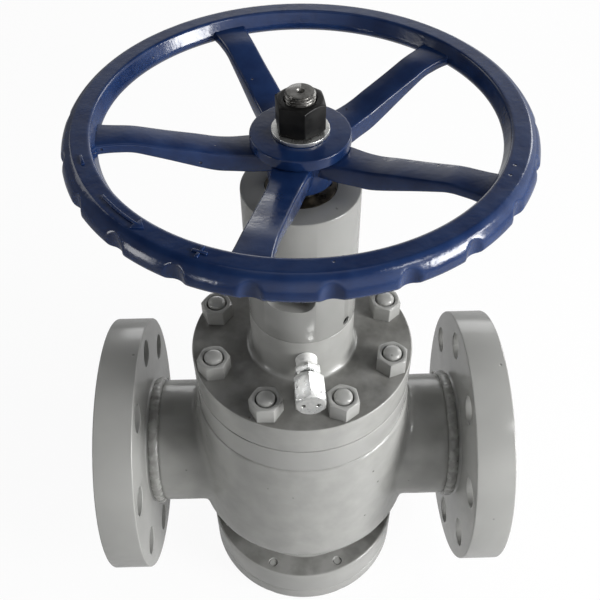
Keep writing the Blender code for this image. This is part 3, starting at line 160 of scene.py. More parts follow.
def addLights():
    for name, place, aim, width, height, watts in studioLights:
        data = bpy.data.lights.new(name, "AREA")
        data.shape = "RECTANGLE"
        data.size = width
        data.size_y = height
        data.energy = watts
        lamp = bpy.data.objects.new(name, data)
        bpy.context.scene.collection.objects.link(lamp)
        lamp.location = place
        lamp.rotation_euler = (Vector(aim) - Vector(place)).to_track_quat("-Z", "Y").to_euler()


worldLook = {"ambient": 0.09, "shown": 1.0, "ceiling": 0.10, "brightBelow": 0.40, "darkAbove": 0.72,
             "leftShare": 0.20, "leftEnd": -0.60, "rightEnd": -0.02}


def addWorld(look):
    # white to the eye; in reflections white near the horizon on the right, darker left and above
    world = bpy.data.worlds.new("paleStudio")
    bpy.context.scene.world = world
    world.use_nodes = True
    world.node_tree.nodes.clear()
    kit = NodeKit(world.node_tree)
    place = kit.add("TexCoord").outputs["Generated"]
    parts = kit.add("SeparateXYZ", Vector=place).outputs
    fall = kit.ramp(parts["Z"], look["brightBelow"], look["darkAbove"], 1.0, look["ceiling"])
    sides = kit.ramp(parts["X"], look["leftEnd"], look["rightEnd"], look["leftShare"], 1.0)
    soft = kit.add("Background", Strength=look["ambient"])
    glossy = kit.add("Background", Strength=kit.math("MULTIPLY", fall, sides))
    seen = kit.add("Background", Strength=look["shown"])
    for node in (soft, glossy, seen):
        node.inputs["Color"].default_value = (1, 1, 1, 1)
    path = kit.add("LightPath").outputs
    straight = kit.math("MAXIMUM", path["Is Camera Ray"], path["Is Transmission Ray"])
    reflected = kit.blend(path["Is Glossy Ray"], soft, glossy)
    final = kit.blend(straight, reflected, seen)
    kit.tree.links.new(final.outputs[0], kit.add("OutputWorld").inputs["Surface"])


addCamera(cameraFit)
addLights()
addWorld(worldLook)
bpy.context.scene.view_settings.view_transform = "Standard"


# materials

def newGroup(name, inputs, outputs):
    group = bpy.data.node_groups.new(name, "ShaderNodeTree")
    for label, value in inputs:
        socket = group.interface.new_socket(label, in_out="INPUT", socket_type="NodeSocketFloat")
        socket.default_value = value
    for label in outputs:
        group.interface.new_socket(label, in_out="OUTPUT", socket_type="NodeSocketFloat")
    return group, group.nodes.new("NodeGroupInput"), group.nodes.new("NodeGroupOutput")


def makeCastGroup():
    # waves, orange peel and pits of a painted casting; heights are in millimetres
    group, given, out = newGroup("castSurface", [("Wave Size", 80), ("Wave Height", 0.3),
                                                ("Peel Size", 420), ("Peel Height", 0.03),
                                                ("Pit Size", 260), ("Pit Height", 0.2),
                                                ("Pit Amount", 0.2)], ["Height", "Mottle", "Pits"])
    kit = NodeKit(group)
    place = kit.add("TexCoord").outputs["Object"]
    wave = kit.add("TexNoise", Vector=place, Scale=given.outputs["Wave Size"], Detail=2.0, Roughness=0.45)
    peel = kit.add("TexNoise", Vector=place, Scale=given.outputs["Peel Size"], Detail=1.0)
    pit = kit.add("TexVoronoi", Vector=place, Scale=given.outputs["Pit Size"])
    single = kit.add("SeparateColor", Color=pit.outputs["Color"])
    dot = kit.ramp(pit.outputs["Distance"], 0.10, 0.26, 1.0, 0.0)
    chosen = kit.math("GREATER_THAN", kit.math("ADD", single.outputs[0], given.outputs["Pit Amount"]), 1.0)
    pits = kit.math("MULTIPLY", dot, chosen)
    height = kit.math("MULTIPLY", wave.outputs["Fac"], given.outputs["Wave Height"])
    height = kit.math("MULTIPLY_ADD", peel.outputs["Fac"], given.outputs["Peel Height"], height)
    sunk = kit.math("MULTIPLY", pits, given.outputs["Pit Height"])
    height = kit.math("SUBTRACT", height, sunk)
    group.links.new(height, out.inputs["Height"])
    group.links.new(wave.outputs["Fac"], out.inputs["Mottle"])
    group.links.new(pits, out.inputs["Pits"])
    return group


def makeTurnedGroup():
    # fine tool marks round the local Z axis, with patchy wear
    group, given, out = newGroup("turnedMarks", [("Mark Size", 900), ("Patch Size", 120)],
                                 ["Height", "Patches"])
    kit = NodeKit(group)
    place = kit.add("TexCoord").outputs["Object"]
    stretched = kit.add("Mapping", Vector=place)
    stretched.inputs["Scale"].default_value = (0.12, 0.12, 1.0)
    marks = kit.add("TexNoise", Vector=stretched.outputs[0], Scale=given.outputs["Mark Size"], Detail=2.0)
    patches = kit.add("TexNoise", Vector=place, Scale=given.outputs["Patch Size"], Detail=3.0)
    group.links.new(marks.outputs["Fac"], out.inputs["Height"])
    group.links.new(patches.outputs["Fac"], out.inputs["Patches"])
    return group


def makeShadeAndGrimeGroup():
    # patchy film of grime on faces looking up, which is also painted shade: it darkens the tops for the
    # shadow of the parts above them
    group, given, out = newGroup("topShadeAndGrime", [("Patch Size", 45), ("Least", 0.3), ("Most", 0.7)], ["Mask"])
    kit = NodeKit(group)
    coords = kit.add("TexCoord").outputs
    patches = kit.add("TexNoise", Vector=coords["Object"], Scale=given.outputs["Patch Size"], Detail=4.0)
    amount = kit.ramp(patches.outputs["Fac"], 0.36, 0.64)
    span = kit.math("SUBTRACT", given.outputs["Most"], given.outputs["Least"])
    amount = kit.math("MULTIPLY_ADD", amount, span, given.outputs["Least"])
    upward = kit.ramp(kit.add("SeparateXYZ", Vector=coords["Normal"]).outputs["Z"], 0.80, 0.97)
    group.links.new(kit.math("MULTIPLY", amount, upward), out.inputs["Mask"])
    return group


castGroup = makeCastGroup()
turnedGroup = makeTurnedGroup()
shadeAndGrimeGroup = makeShadeAndGrimeGroup()


def startMaterial(name):
    material = bpy.data.materials.new(name)
    material.use_nodes = True
    tree = material.node_tree
    return material, NodeKit(tree), tree.nodes["Principled BSDF"]


def useGroup(kit, group, values):
    node = kit.tree.nodes.new("ShaderNodeGroup")
    node.node_tree = group
    for label, value in values.items():
        node.inputs[label].default_value = value
    return node


def joinShader(kit, shader, colour, rough, bump):
    for source, name in ((colour, "Base Color"), (rough, "Roughness"), (bump.outputs["Normal"], "Normal")):
        kit.tree.links.new(source, shader.inputs[name])


def enamel(name, look):
    material, kit, shader = startMaterial(name)
    cast = useGroup(kit, castGroup, look["cast"])
    colour = kit.mix(kit.ramp(cast.outputs["Mottle"], 0.35, 0.65), look["dark"], look["light"])
    colour = kit.mix(kit.math("MULTIPLY", cast.outputs["Pits"], look["pitDark"]), colour, look["pitColour"])
    # painted shade mixed with grime, darkening the faces looking up
    if "shadeAndGrime" in look:
        shadeAndGrime = useGroup(kit, shadeAndGrimeGroup, look["shadeAndGrime"])
        colour = kit.mix(shadeAndGrime.outputs["Mask"], colour, look["shadeAndGrimeColour"])
    rough = kit.ramp(cast.outputs["Mottle"], 0.3, 0.7, *look["rough"])
    bump = kit.add("Bump", Height=cast.outputs["Height"], Strength=1.0, Distance=0.001)
    joinShader(kit, shader, colour, rough, bump)
    shader.inputs["IOR"].default_value = look["ior"]
    return material


def turnedMetal(name, look):
    material, kit, shader = startMaterial(name)
    marks = useGroup(kit, turnedGroup, look["marks"])
    colour = kit.mix(kit.ramp(marks.outputs["Patches"], 0.35, 0.65), look["dark"], look["light"])
    rough = kit.ramp(marks.outputs["Patches"], 0.3, 0.7, *look["rough"])
    bump = kit.add("Bump", Height=marks.outputs["Height"], Strength=look["bump"], Distance=0.0002)
    joinShader(kit, shader, colour, rough, bump)
    shader.inputs["Metallic"].default_value = look["metallic"]
    shader.inputs["Specular IOR Level"].default_value = look.get("specular", 0.5)
    return material


greyLook = {
    "dark": (0.335, 0.336, 0.322), "light": (0.372, 0.372, 0.356),
    "pitColour": (0.05, 0.05, 0.045), "pitDark": 0.7, "rough": (0.13, 0.22), "ior": 1.5,
    "cast": {"Wave Size": 60, "Wave Height": 0.45, "Peel Size": 380, "Peel Height": 0.03,
             "Pit Size": 210, "Pit Height": 0.25, "Pit Amount": 0.012},
}
machinedGreyLook = {
    "dark": (0.345, 0.346, 0.333), "light": (0.372, 0.372, 0.358),
    "pitColour": (0.06, 0.06, 0.055), "pitDark": 0.6, "rough": (0.15, 0.24), "ior": 1.5,
    "cast": {"Wave Size": 26, "Wave Height": 0.12, "Peel Size": 330, "Peel Height": 0.012,
             "Pit Size": 190, "Pit Height": 0.15, "Pit Amount": 0.012},
}
weldLook = dict(greyLook, dark=(0.27, 0.27, 0.258), light=(0.35, 0.35, 0.335), rough=(0.20, 0.32),
                cast={"Wave Size": 150, "Wave Height": 0.5, "Peel Size": 620, "Peel Height": 0.06,
                      "Pit Size": 330, "Pit Height": 0.3, "Pit Amount": 0.06})
# the bonnet's top faces carry painted shade of the handwheel above them, mixed with grime
bonnetLook = dict(greyLook, shadeAndGrime={"Patch Size": 42, "Least": 0.40, "Most": 0.80},
                  shadeAndGrimeColour=(0.09, 0.088, 0.08))
# the foot flange's top faces carry painted shade of the body above them, mixed with grime
footLook = dict(machinedGreyLook, shadeAndGrime={"Patch Size": 50, "Least": 0.35, "Most": 0.75},
                shadeAndGrimeColour=(0.10, 0.099, 0.092))
# a darker copy of the machined grey: painted shade of the handwheel over the yoke
yokePaintedShadeLook = dict(machinedGreyLook, dark=(0.265, 0.266, 0.255), light=(0.295, 0.295, 0.283))
blueLook = {
    "dark": (0.0072, 0.0225, 0.085), "light": (0.0102, 0.0305, 0.106),
    "pitColour": (0.004, 0.006, 0.02), "pitDark": 0.9, "rough": (0.13, 0.22), "ior": 1.5,
    "cast": {"Wave Size": 90, "Wave Height": 0.26, "Peel Size": 480, "Peel Height": 0.06,
             "Pit Size": 240, "Pit Height": 0.3, "Pit Amount": 0.02},
}
blackOxideLook = {
    "dark": (0.004, 0.004, 0.004), "light": (0.009, 0.0088, 0.0085), "metallic": 0.0,
    "specular": 0.2, "rough": (0.36, 0.50), "bump": 0.25, "marks": {"Mark Size": 700, "Patch Size": 160},
}
zincLook = {
    "dark": (0.62, 0.63, 0.62), "light": (0.80, 0.80, 0.78), "metallic": 0.9,
    "rough": (0.22, 0.38), "bump": 0.3, "marks": {"Mark Size": 800, "Patch Size": 200},
}
steelLook = {
    "dark": (0.10, 0.097, 0.09), "light": (0.22, 0.215, 0.205), "metallic": 0.9,
    "rough": (0.24, 0.42), "bump": 0.5, "marks": {"Mark Size": 1200, "Patch Size": 220},
}
bronzeLook = {
    "dark": (0.030, 0.026, 0.020), "light": (0.10, 0.084, 0.060), "metallic": 0.8,
    "rough": (0.26, 0.42), "bump": 0.4, "marks": {"Mark Size": 900, "Patch Size": 150},
}
graphiteLook = {
    "dark": (0.03, 0.03, 0.032), "light": (0.06, 0.06, 0.062), "metallic": 0.0,
    "rough": (0.6, 0.8), "bump": 0.5, "marks": {"Mark Size": 700, "Patch Size": 300},
}
tapeLook = {
    "dark": (0.74, 0.74, 0.72), "light": (0.88, 0.88, 0.86), "metallic": 0.0,
    "rough": (0.5, 0.65), "bump": 0.8, "marks": {"Mark Size": 1500, "Patch Size": 420},
}

greyCast = enamel("greyEnamelCast", greyLook)
greyTurned = enamel("greyEnamelTurned", machinedGreyLook)
greyWeld = enamel("greyEnamelWeld", weldLook)
greyBonnet = enamel("greyEnamelBonnet", bonnetLook)
greyFoot = enamel("greyEnamelFoot", footLook)
greyYokePaintedShade = enamel("greyEnamelYokePaintedShade", yokePaintedShadeLook)
blueCast = enamel("blueEnamelCast", blueLook)
blackOxide = turnedMetal("blackOxideSteel", blackOxideLook)
zincPlate = turnedMetal("zincPlatedSteel", zincLook)
stemSteel = turnedMetal("oiledStemSteel", steelLook)
bronzeMetal = turnedMetal("turnedBronze", bronzeLook)
graphiteMat = turnedMetal("pressedGraphite", graphiteLook)
tapeMat = turnedMetal("threadTape", tapeLook)
print("materials ready")


# mesh kit

def softProfile(points, size, closed=False, bend=4):
    # rounds each corner of a (radius, height) line; a third number is that corner's own size
    done = []
    count = len(points)
    most = 0.48   # a corner takes at most this share of the lines beside it
    for index, point in enumerate(points):
        corner = Vector(point[:2])
        cut = point[2] if len(point) > 2 else size
        if cut == 0 or (not closed and index in (0, count - 1)):
            done.append(corner)
            continue
        into = Vector(points[index - 1][:2]) - corner
        away = Vector(points[(index + 1) % count][:2]) - corner
        start = corner + into.normalized() * min(cut, into.length * most)
        end = corner + away.normalized() * min(cut, away.length * most)
        for step in range(bend + 1):
            t = step / bend
            done.append(start * (1 - t) ** 2 + corner * 2 * t * (1 - t) + end * t * t)
    return done


def spinShape(points, steps=144, closed=False, base=axisHeight):
    bm = bmesh.new()
    verts = [bm.verts.new((point[0] * mm, 0, (base + point[1]) * mm)) for point in points]
    pairs = list(zip(verts, verts[1:]))
    if closed:
        pairs.append((verts[-1], verts[0]))
    edges = [bm.edges.new(pair) for pair in pairs]
    bmesh.ops.spin(bm, geom=verts + edges, cent=(0, 0, 0), axis=(0, 0, 1), dvec=(0, 0, 0),
                   angle=math.tau, steps=steps, use_merge=True, use_duplicate=False)
    bmesh.ops.remove_doubles(bm, verts=bm.verts[:], dist=1e-7)
    bmesh.ops.dissolve_degenerate(bm, edges=bm.edges[:], dist=1e-8)
    bmesh.ops.recalc_face_normals(bm, faces=bm.faces[:])
    return bm


def rod(radius, low, high, steps=96):
    return spinShape([(0, high), (radius, high), (radius, low), (0, low)], steps, base=0)


def prism(sides, acrossFlats, low, high, turn=0.0, base=axisHeight):
    bm = bmesh.new()
    corner = acrossFlats / 2 / math.cos(math.pi / sides) * mm
    place = shift(0, 0, base + (low + high) / 2) @ swing(turn)
    bmesh.ops.create_cone(bm, cap_ends=True, segments=sides, radius1=corner, radius2=corner,
                          depth=(high - low) * mm, matrix=place)
    return bm


def block(along, across, low, high):
    # a box centred on the stem, its underside and top at the given heights, mm
    bm = bmesh.new()
    bmesh.ops.create_cube(bm, size=1.0)
    bmesh.ops.scale(bm, vec=(along * mm, across * mm, (high - low) * mm), verts=bm.verts[:])
    bm.transform(shift(0, 0, axisHeight + (low + high) / 2))
    return bm


def joinInto(whole, one, place):
    # moves one shape and adds it to another
    one.transform(place)
    shared = bpy.data.meshes.new("shared")
    one.to_mesh(shared)
    one.free()
    whole.from_mesh(shared)
    bpy.data.meshes.remove(shared)


def holes(radius, low, high, spots, flare=0.6, base=axisHeight, steps=40):
    # cutters with a small flare where they leave the two faces low and high, mm
    whole = bmesh.new()
    wide = radius + flare
    past = 6
    outline = [(0, high + past), (wide + past, high + past), (wide, high), (radius, high - flare),
               (radius, low + flare), (wide, low), (wide + past, low - past), (0, low - past)]
    for x, y in spots:
        joinInto(whole, spinShape(outline, steps, base=base), shift(x, y, 0))
    return whole


def roundEdges(bm, edges, size, segments):
    bmesh.ops.bevel(bm, geom=edges, offset=size * mm, offset_type="OFFSET", segments=segments,
                    profile=0.5, affect="EDGES", material=-1, clamp_overlap=True)


def ringSpots(radius, count, start):
    angles = [math.radians(start + k * 360 / count) for k in range(count)]
    return [(radius * math.cos(t), radius * math.sin(t)) for t in angles]


def looseObject(name, bm):
    mesh = bpy.data.meshes.new(name)
    bm.to_mesh(mesh)
    bm.free()
    thing = bpy.data.objects.new(name, mesh)
    bpy.context.scene.collection.objects.link(thing)
    return thing


def settle(thing):
    # makes the modifiers real
    graph = bpy.context.evaluated_depsgraph_get()
    mesh = bpy.data.meshes.new_from_object(thing.evaluated_get(graph))
    thing.modifiers.clear()
    thing.data = mesh
    return thing


def combine(thing, changes, solver="EXACT"):
    # changes is a list of (operation, bmesh); the result is one settled mesh
    tools = []
    for operation, bm in changes:
        tool = looseObject("tool", bm)
        step = thing.modifiers.new(operation, "BOOLEAN")
        step.operation = operation
        step.solver = solver
        step.object = tool
        tools.append(tool)
    settle(thing)
    for tool in tools:
        bpy.data.objects.remove(tool)
    return thing


def softenEdges(thing, width, angle=35, segments=3):
    step = thing.modifiers.new("soft", "BEVEL")
    step.width = width * mm
    step.segments = segments
    step.limit_method = "ANGLE"
    step.angle_limit = math.radians(angle)
    step.harden_normals = False
    return settle(thing)


def finishPiece(thing, name, body, material, replaced=(), sharp=42):
    thing.name = name
    thing.data.name = name
    thing.data.materials.clear()
    thing.data.materials.append(material)
    thing.data.shade_smooth()
    thing.data.set_sharp_from_angle(angle=math.radians(sharp))
    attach(thing, body)
    if replaced:
        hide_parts(*replaced)
    return thing


def alongX(side):
    # local +Z laid along the pipe towards the outlet (1) or the inlet (-1)
    return shift(0, 0, axisHeight) @ Matrix.Rotation(side * math.pi / 2, 4, "Y")


def outward(turn, height):
    # local +Z laid flat, pointing away from the stem
    return shift(0, 0, axisHeight + height) @ swing(turn) @ Matrix.Rotation(math.pi / 2, 4, "Y")


def roundWindow(width, low, high, corner, depth):
    # a slab with rounded corners, its thickness along local X, mm
    bm = block(depth, width, low, high)
    sides = [edge for edge in bm.edges if abs(edge.verts[0].co.x - edge.verts[1].co.x) > 1e-6]
    roundEdges(bm, sides, corner, 8)
    return bm


# body casting

bodySizes = {
    "flangeRadius": 82.6, "flangeTop": 102.85, "flangeBottom": 77.2, "grooveRadius": 80.9, "grooveDrop": 0.6,
    "overlap": 0.5, "startRadius": 83.8, "widest": 91.5, "widestDrop": 35.0,
    "bowlDepth": 48.0, "bowlPower": 1.8,
    "neckRadius": 51.0, "neckEnd": 118.6, "waist": 62.0, "waistDrop": 3.0, "waistFillet": 7.0,
    "skirt": 12.0, "skirtTop": 1.0, "skirtBottom": 4.0,
    "voxel": 1.7, "junctionReach": 6.5, "junctionPasses": 8, "junctionLow": -70.0, "junctionHigh": 77.0,
    "waviness": 0.28, "waveScales": (38, 85), "plainEnd": 4.0, "wavyBelow": 70.0,
    "portRadius": 39.0, "portEnd": 130.0, "inletStart": 62.0, "outletStart": 58.0,
    "chamberRadius": 50.0, "chamberTop": 95.0, "webTop": -8.0, "webBottom": -24.0,
    "seatHole": 38.0, "lowerBore": 46.0, "lowerBoreDrop": 12.0,
    "passageHalf": 34.0, "passageFloor": -68.0, "passageLength": 72.0, "mouthStart": 30.0, "mouthEnd": 70.0,
}
footSizes = {
    "radius": 84.0, "top": -97.1, "bottom": -126.6, "edge": 3.0, "bore": 46.0,
    "screwCount": 8, "screwCircle": 75.0, "screwHole": 5.3, "topHole": 3.9,
    "endRadius": 3.5, "endTop": -98.3, "endLength": 6.0, "endIn": 0.5, "endDrop": 0.6,
    "coverTop": -126.95, "coverBottom": -140.7,
    "sinkWide": 15.1, "sinkNarrow": 5.9, "sinkDepth": 9.2, "sinkMiddle": 0.3,
}


def barrelRadius(a, sizes):
    rise = sizes["flangeBottom"] + sizes["widestDrop"]
    bulge = sizes["widest"] - sizes["startRadius"]
    sweep = (rise * rise + bulge * bulge) / (2 * bulge)
    below = a + sizes["widestDrop"]
    if below >= 0:
        return sizes["widest"] - sweep + math.sqrt(sweep ** 2 - below ** 2)
    share = min(-below / sizes["bowlDepth"], 1.0)
    power = sizes["bowlPower"]
    return sizes["widest"] * (1 - share ** power) ** (1 / power)


def barrelLine(sizes, lowest):
    # 4 mm steps down to the widest place, then 0.8 mm steps round the bowl as far as the radius lowest
    heights = list(range(int(sizes["flangeBottom"]), -int(sizes["widestDrop"]) - 1, -4))
    heights += [-sizes["widestDrop"] - step * 0.8 for step in range(1, 60)]
    return [(barrelRadius(a, sizes), a) for a in heights if barrelRadius(a, sizes) >= lowest]


def makeBodyCasting(sizes, foot):
    top, waist = sizes["flangeBottom"] + sizes["overlap"], sizes["waist"]
    skirt, skirtTop = waist + sizes["skirt"], foot["top"] - sizes["skirtTop"]
    skirtBottom = foot["top"] - sizes["skirtBottom"]
    line = [(0, top), (sizes["startRadius"], top)] + barrelLine(sizes, waist)[1:]
    line += softProfile([(waist, line[-1][1] - sizes["waistDrop"]), (waist, skirtTop, sizes["waistFillet"]),
                         (skirt, skirtTop), (skirt, skirtBottom), (0, skirtBottom)], 0)
    casting = looseObject("bodyCasting", spinShape(line, 160))
    necks = rod(sizes["neckRadius"], -sizes["neckEnd"], sizes["neckEnd"], 128)
    necks.transform(alongX(1))
    combine(casting, [("UNION", necks)])
    remesh = casting.modifiers.new("even", "REMESH")
    remesh.mode = "VOXEL"
    remesh.voxel_size = sizes["voxel"] * mm
    settle(casting)
    smoothCasting(casting, sizes)
    cutBodyInside(casting, sizes, foot)
    finishPiece(casting, "body_casting", rootBody, greyCast, ["body"], sharp=60)


def smoothVerts(bm, verts, passes):
    for _ in range(passes):
        bmesh.ops.smooth_vert(bm, verts=verts, factor=0.5, use_axis_x=True, use_axis_y=True, use_axis_z=True)


def smoothCasting(casting, sizes):
    # rounds the joint of bowl and necks, then gives the casting its slow waves
    bm = bmesh.new()
    bm.from_mesh(casting.data)
    smoothVerts(bm, bm.verts[:], 3)
    near = []
    for vert in bm.verts:
        x, y, z = vert.co / mm
        a = z - axisHeight
        if not sizes["junctionLow"] < a < sizes["junctionHigh"]:
            continue
        toNeck = abs(math.hypot(y, a) - sizes["neckRadius"])
        toBarrel = abs(math.hypot(x, y) - barrelRadius(a, sizes))
        if max(toNeck, toBarrel) < sizes["junctionReach"]:
            near.append(vert)
    smoothVerts(bm, near, sizes["junctionPasses"])
    bm.normal_update()
    reach = (sizes["neckEnd"] - sizes["plainEnd"]) * mm
    ceiling = (axisHeight + sizes["wavyBelow"]) * mm
    coarse, fine = sizes["waveScales"]
    for vert in bm.verts:
        if abs(vert.co.x) < reach and vert.co.z < ceiling:
            swell = noise.noise(vert.co * coarse) + 0.5 * noise.noise(vert.co * fine)
            vert.co += vert.normal * swell * sizes["waviness"] * mm
    bm.to_mesh(casting.data)
    bm.free()


def cutBodyInside(casting, sizes, foot):
    chamber, seat, lower = sizes["chamberRadius"], sizes["seatHole"], sizes["lowerBore"]
    end = foot["top"] - sizes["lowerBoreDrop"]
    bore = spinShape([(0, sizes["chamberTop"]), (chamber, sizes["chamberTop"]), (chamber, sizes["webTop"]),
                      (seat, sizes["webTop"]), (seat, sizes["webBottom"]), (lower, sizes["webBottom"]),
                      (lower, end), (0, end)], 96)
    changes = [("DIFFERENCE", bore)]
    for side, start in ((-1, sizes["inletStart"]), (1, sizes["outletStart"])):
        port = rod(sizes["portRadius"], start, sizes["portEnd"])
        port.transform(alongX(side))
        changes.append(("DIFFERENCE", port))
    way = block(sizes["passageLength"], 2 * sizes["passageHalf"], sizes["passageFloor"], sizes["webBottom"])
    way.transform(shift(-sizes["passageLength"] / 2, 0, 0))
    changes.append(("DIFFERENCE", way))
    mouth = rod(sizes["portRadius"], sizes["mouthStart"], sizes["mouthEnd"])
    mouth.transform(alongX(1))
    bmesh.ops.bisect_plane(mouth, geom=mouth.verts[:] + mouth.edges[:] + mouth.faces[:],
                           plane_co=(0, 0, (axisHeight + sizes["webTop"]) * mm), plane_no=(0, 0, 1),
                           clear_inner=True)
    bmesh.ops.holes_fill(mouth, edges=[edge for edge in mouth.edges if edge.is_boundary])
    bmesh.ops.recalc_face_normals(mouth, faces=mouth.faces[:])
    changes.append(("DIFFERENCE", mouth))
    combine(casting, changes, "MANIFOLD")


def makeBodyFlange(sizes):
    top, rim, bottom = sizes["flangeTop"], sizes["flangeTop"] - sizes["grooveDrop"], sizes["flangeBottom"]
    inner, groove, outer = sizes["chamberRadius"], sizes["grooveRadius"], sizes["flangeRadius"]
    outline = softProfile([(inner, top), (groove, top, 0.2), (groove, rim), (outer, rim, 0.5),
                           (outer, bottom, 0.8), (inner, bottom)], 0, closed=True)
    ring = looseObject("bodyRing", spinShape(outline, 192, closed=True))
    finishPiece(ring, "body_top_flange", rootBody, greyTurned)


def makeFootFlange(sizes, spots):
    outline = softProfile([(sizes["bore"], sizes["top"]), (sizes["radius"], sizes["top"], sizes["edge"]),
                           (sizes["radius"], sizes["bottom"], 0.7), (sizes["bore"], sizes["bottom"])],
                          0, closed=True)
    ring = looseObject("footRing", spinShape(outline, 192, closed=True))
    combine(ring, [("DIFFERENCE", holes(sizes["topHole"], sizes["bottom"], sizes["top"], spots, 0.3))])
    finishPiece(ring, "body_foot_flange", rootBody, greyFoot)


def makeScrewEnds(sizes, spots):
    radius, top = sizes["endRadius"], sizes["endTop"]
    low = top - sizes["endLength"]
    outline = [(0, top), (radius - sizes["endIn"], top), (radius, top - sizes["endDrop"]),
               (radius, low), (0, low)]
    ends = bmesh.new()
    for x, y in spots:
        joinInto(ends, spinShape(outline, 32), shift(x, y, 0))
    finishPiece(looseObject("screwEnds", ends), "foot_screw_ends", rootBody, greyTurned)


def makeFootCover(sizes, spots):
    radius, top, bottom = sizes["radius"], sizes["coverTop"], sizes["coverBottom"]
    outline = softProfile([(0, top), (radius, top, 0.7), (radius, bottom, 1.6), (0, bottom)], 0)
    cover = looseObject("coverDisc", spinShape(outline, 192))
    sinks = bmesh.new()
    for x, y in spots:
        bmesh.ops.create_cone(sinks, cap_ends=True, segments=40, radius1=sizes["sinkWide"] * mm,
                              radius2=sizes["sinkNarrow"] * mm, depth=sizes["sinkDepth"] * mm,
                              matrix=shift(x, y, sizes["sinkMiddle"]))
    through = holes(sizes["screwHole"], bottom - 5, top + 5, spots, 0.0)
    combine(cover, [("DIFFERENCE", through), ("DIFFERENCE", sinks)])
    finishPiece(cover, "foot_cover_disc", rootBody, greyTurned, ["foot_cover"])


makeBodyCasting(bodySizes, footSizes)
makeBodyFlange(bodySizes)
screwSpots = ringSpots(footSizes["screwCircle"], footSizes["screwCount"], 180 / footSizes["screwCount"])
makeFootFlange(footSizes, screwSpots)
makeScrewEnds(footSizes, screwSpots)
makeFootCover(footSizes, screwSpots)
print("body and foot done")


# pipe flanges and welds

flangeSizes = {
    "radius": 105.0, "face": 158.75, "rimFace": 157.15, "back": 127.65, "stubEnd": 124.3,
    "raisedFace": 63.5, "port": 39.0, "neck": 51.0, "boltCircle": 84.15, "hole": 11.1, "count": 8,
}
weldSizes = {
    "low": 117.2, "high": 125.4, "inner": 39.0, "edge": 50.6, "outer": 51.0, "crown": 2.3,
    "ripples": 66, "rippleFrom": 50.8, "rippleHeight": 0.15, "rippleBend": 1.4, "roughness": 0.6,
}


def makePipeFlange(name, side, sizes):
    port, neck, radius = sizes["port"], sizes["neck"], sizes["radius"]
    face, rimFace, back, end = sizes["face"], sizes["rimFace"], sizes["back"], sizes["stubEnd"]
    outline = softProfile([(port, face, 0.4), (sizes["raisedFace"], face, 0.4),
                           (sizes["raisedFace"], rimFace, 0.5), (radius, rimFace, 1.1), (radius, back, 1.1),
                           (neck, back, 1.8), (neck, end), (port, end)], 0, closed=True)
    flange = looseObject(name + "Disc", spinShape(outline, 192, closed=True, base=0))
    spots = ringSpots(sizes["boltCircle"], sizes["count"], 180 / sizes["count"])
    combine(flange, [("DIFFERENCE", holes(sizes["hole"], back, rimFace, spots, 0.5, base=0))])
    flange.data.transform(alongX(side))
    finishPiece(flange, name + "_disc", rootBody, greyTurned, [name])


def makeWeld(name, side, sizes):
    low, high, start = sizes["low"], sizes["high"], sizes["rippleFrom"]
    half, middle = (high - low) / 2, (high + low) / 2
    angles = [math.radians(75 - 15 * k) for k in range(11)]
    crown = [(sizes["outer"] + sizes["crown"] * math.cos(t), middle + half * math.sin(t)) for t in angles]
    inner, edge = sizes["inner"], sizes["edge"]
    line = [(inner, high), (edge, high)] + crown + [(edge, low), (inner, low)]
    bm = spinShape(line, 360, closed=True, base=0)
    for vert in bm.verts:
        radius = math.hypot(vert.co.x, vert.co.y) / mm
        if radius < start:
            continue
        turn = math.atan2(vert.co.y, vert.co.x)
        along = (vert.co.z / mm - middle) / half
        scallop = abs(math.sin(sizes["ripples"] * turn / 2 + sizes["rippleBend"] * along * along))
        uneven = noise.noise(vert.co * 150) + 0.6 * noise.noise(vert.co * 420)
        swell = sizes["rippleHeight"] * scallop + sizes["roughness"] * uneven
        grow = 1 + swell * (radius - start) / sizes["crown"] / radius
        vert.co.x *= grow
        vert.co.y *= grow
    bm.transform(alongX(side))
    bead = looseObject(name + "Bead", bm)
    finishPiece(bead, name + "_bead", rootBody, greyWeld, [name], sharp=70)


for side, end in ((-1, "inlet"), (1, "outlet")):
    makePipeFlange(end + "_flange", side, flangeSizes)
    makeWeld(end + "_weld", side, weldSizes)
print("flanges and welds done")


# bonnet, studs and nuts

bonnetSizes = {
    "radius": 82.6, "top": 129.2, "bottom": 103.15, "neck": 37.8, "neckTop": 169.0, "fillet": 5.5,
    "bossRadius": 28.7, "bossTop": 192.0, "bore": 12.6, "spigot": 49.7, "spigotBottom": 80.0,
}
studSizes = {
    "circle": 69.6, "count": 8, "radius": 6.6, "low": 100.0, "top": 145.8,
    # share of the radius and drop from the top, along the domed end
    "dome": [(0, 0), (0.45, 0.12), (0.75, 0.6), (0.92, 1.4), (1, 2.4)],
}
nutSizes = {"flats": 21.0, "low": 129.25, "high": 143.1, "bore": 7.6, "turns": [12, 47, 3, 25, 38, 28, 8, 50]}


def makeBonnet(sizes):
    bore, neck, radius, spigot = sizes["bore"], sizes["neck"], sizes["radius"], sizes["spigot"]
    outline = softProfile([(bore, sizes["bossTop"]), (sizes["bossRadius"], sizes["bossTop"], 0.8),
                           (sizes["bossRadius"], sizes["neckTop"]), (neck, sizes["neckTop"], 0.7),
                           (neck, sizes["top"], sizes["fillet"]), (radius, sizes["top"], 1.3),
                           (radius, sizes["bottom"], 0.6), (spigot, sizes["bottom"]),
                           (spigot, sizes["spigotBottom"]), (bore, sizes["spigotBottom"])],
                          0, closed=True, bend=6)
    bonnet = looseObject("bonnetShape", spinShape(outline, 192, closed=True))
    finishPiece(bonnet, "bonnet_casting", rootBody, greyBonnet, ["bonnet"])


